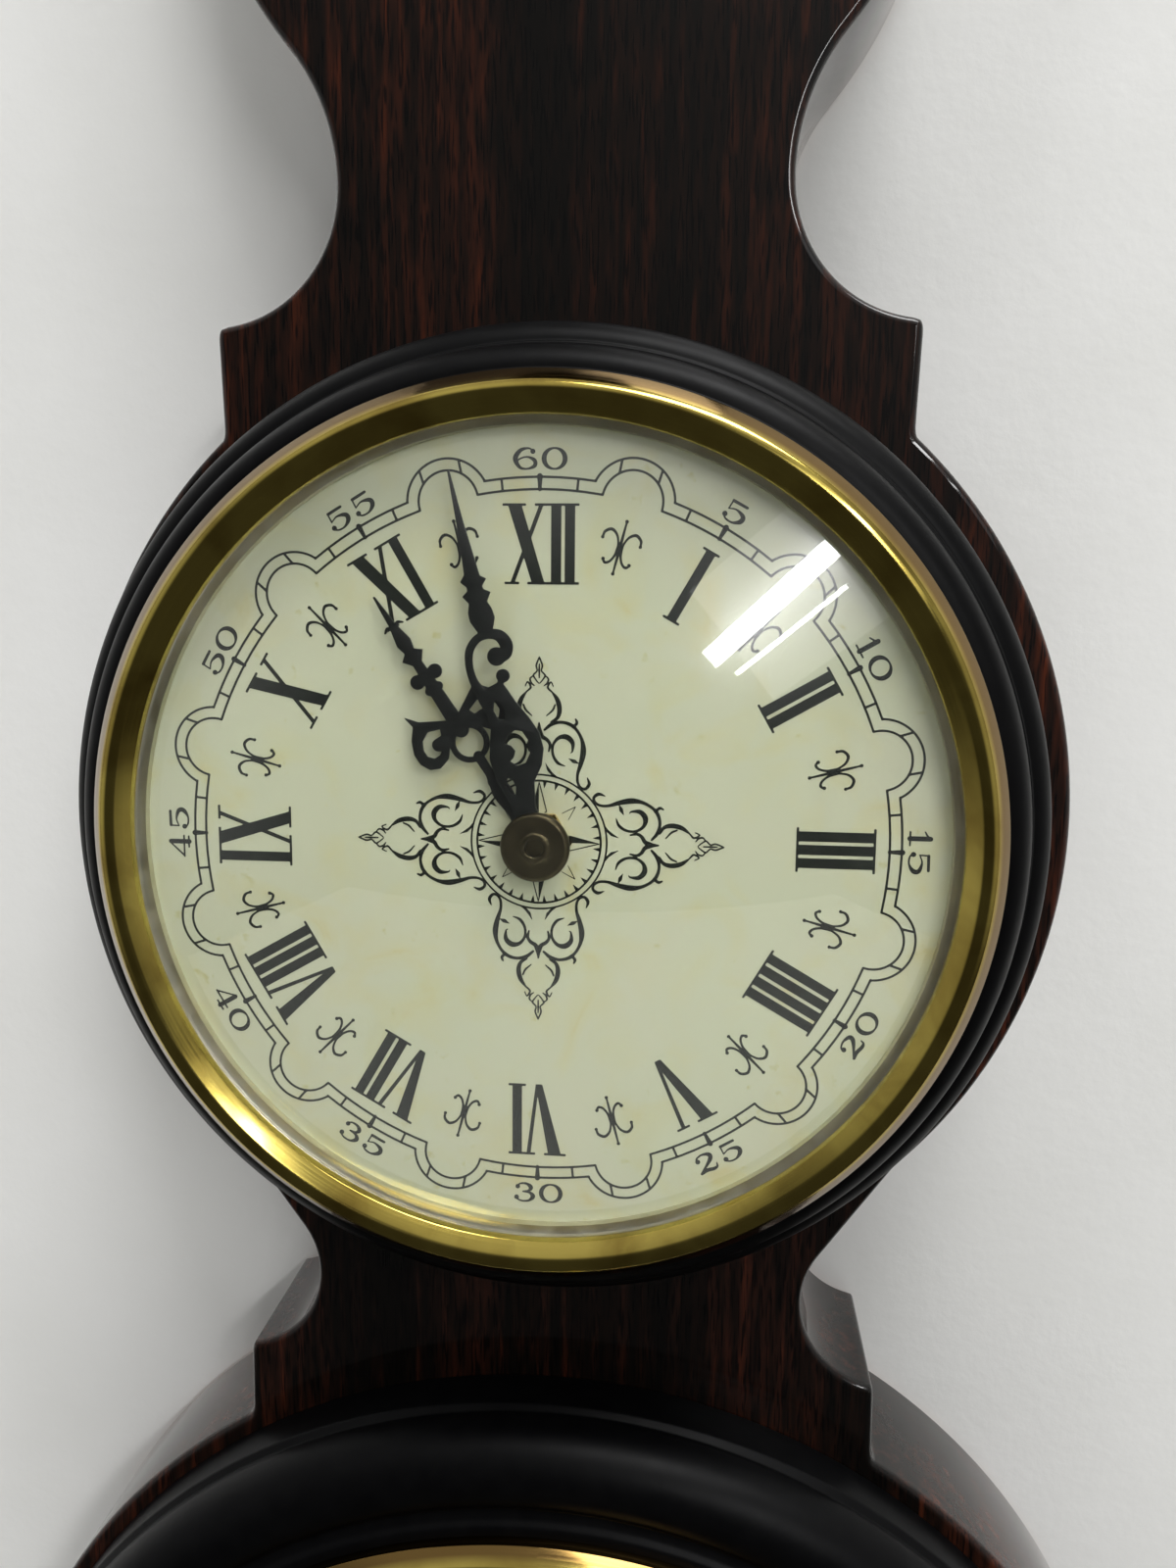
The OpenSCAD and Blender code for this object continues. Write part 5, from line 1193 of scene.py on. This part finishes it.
# %% Wall and floor
def paint(name, light, dark, seen_through):
    made, tree, shader, coords = finish(name, Roughness=0.85)
    here = coords["Object"]
    tint(tree, shader, noise(tree, here, (14,) * 3, 3.0), [(0.3, dark), (0.7, light)])
    relief(tree, shader, noise(tree, here, (260,) * 3, 4.0), 0.15, 0.0008)
    if seen_through:
        seen_beyond(tree, shader, tree.nodes.new("ShaderNodeNewGeometry").outputs["Backfacing"])
    return made


def sheet(name, corners, material):
    mesh = bpy.data.meshes.new(name)
    mesh.from_pydata(corners, [], [(0, 1, 2, 3)])
    mesh.materials.append(material)
    made = linked(name, mesh)
    return made


wall = sheet("wall", [(-2, 0.0003, -1.3), (2, 0.0003, -1.3), (2, 0.0003, 1.5), (-2, 0.0003, 1.5)],
             paint("wall_paint_white", "#f4f4f2", "#ecece9", True))
floor = sheet("floor", [(-2, -3, -1.3), (2, -3, -1.3), (2, 0.3, -1.3), (-2, 0.3, -1.3)],
              paint("floor_pale", "#e4e3e0", "#dddcd9", False))
# The lamp behind the wall shines through it, and the brass doesn't mirror the floor.
wall.visible_shadow = wall.visible_diffuse = floor.visible_glossy = False


# %% Lamps and world
def lamp(name, at, towards, power, wide, high, tint="#ffffff"):
    data = bpy.data.lights.new(name, "AREA")
    data.shape, data.size, data.size_y, data.energy = "RECTANGLE", wide, high, power
    data.color = srgb(tint)[:3]
    made = linked(name, data)
    aim = (Vector(towards) - Vector(at)).to_track_quat("-Z", "Y")
    made.matrix_world = Matrix.Translation(at) @ aim.to_matrix().to_4x4()
    return made


def tube(name, one, two, power, high):
    """A tube lamp between two points, facing the clock."""
    one, two, dial = Vector(one), Vector(two), Vector((0, -0.06, -0.27))
    middle = (one + two) / 2
    made = lamp(name, middle, dial, power, (two - one).length, high)
    out = -(dial - middle).normalized()
    along = (two - one) - (two - one).dot(out) * out
    along.normalize()
    axes = Matrix((along, out.cross(along), out)).transposed()
    made.matrix_world = Matrix.Translation(middle) @ axes.to_4x4()


tube("tube_thin", (0.81, -2.28, 0.28), (1.34, -1.86, 0.71), 1.5, 0.026)
tube("tube_broad", (0.66, -2.31, 0.36), (1.29, -1.76, 0.94), 10, 0.12)
tube("tube_glow", (0.90, -2.6, 0.55), (1.75, -1.75, 1.2), 3.2, 0.9)
lamp("ceiling", (0.55, -0.75, 1.7), (0, -0.05, -0.27), 34, 1.2, 0.7)
lamp("ceiling_left", (-0.9, -0.8, 1.1), (0, -0.05, -0.27), 4, 0.8, 0.5).visible_glossy = False
lamp("behind", (-0.6, 1.3, 0.7), (0, 0.0, -0.3), 24, 1.4, 1.0)
world = bpy.data.worlds.new("room")
bpy.context.scene.world = world
world.use_nodes = True
tree = world.node_tree
sky = tree.nodes.new("ShaderNodeTexCoord").outputs["Generated"]
ways = node(tree, "ShaderNodeSeparateXYZ", {"Vector": sky}).node.outputs


def ramp(value, low, high, first, last):
    span = {"Value": value, "From Min": low, "From Max": high, "To Min": first, "To Max": last}
    return node(tree, "ShaderNodeMapRange", span, interpolation_type="SMOOTHSTEP")


def combine(kind, one, two):
    made = node(tree, "ShaderNodeMath", {"Value": one}, operation=kind)
    tree.links.new(two, made.node.inputs[1])
    return made


ceiling = ramp(ways["Z"], 0.38, 0.74, 0.05, 0.6)
sides = ramp(node(tree, "ShaderNodeMath", {"Value": ways["X"]}, operation="ABSOLUTE"), 0.45, 0.9, 0.0, 0.42)
walls = combine("MULTIPLY", sides, ramp(ways["Z"], -0.5, -0.15, 0.1, 1.0))
level = combine("ADD", combine("MAXIMUM", ceiling, walls), ramp(ways["Y"], 0.0, 0.5, 0.0, 0.5))
rays = tree.nodes.new("ShaderNodeLightPath").outputs
shown = node(tree, "ShaderNodeMix", {"Factor": rays["Is Camera Ray"], "A": level, "B": 0.86})
tree.links.new(shown, tree.nodes["Background"].inputs["Strength"])
tree.nodes["Background"].inputs["Color"].default_value = srgb("#f6f6f4")
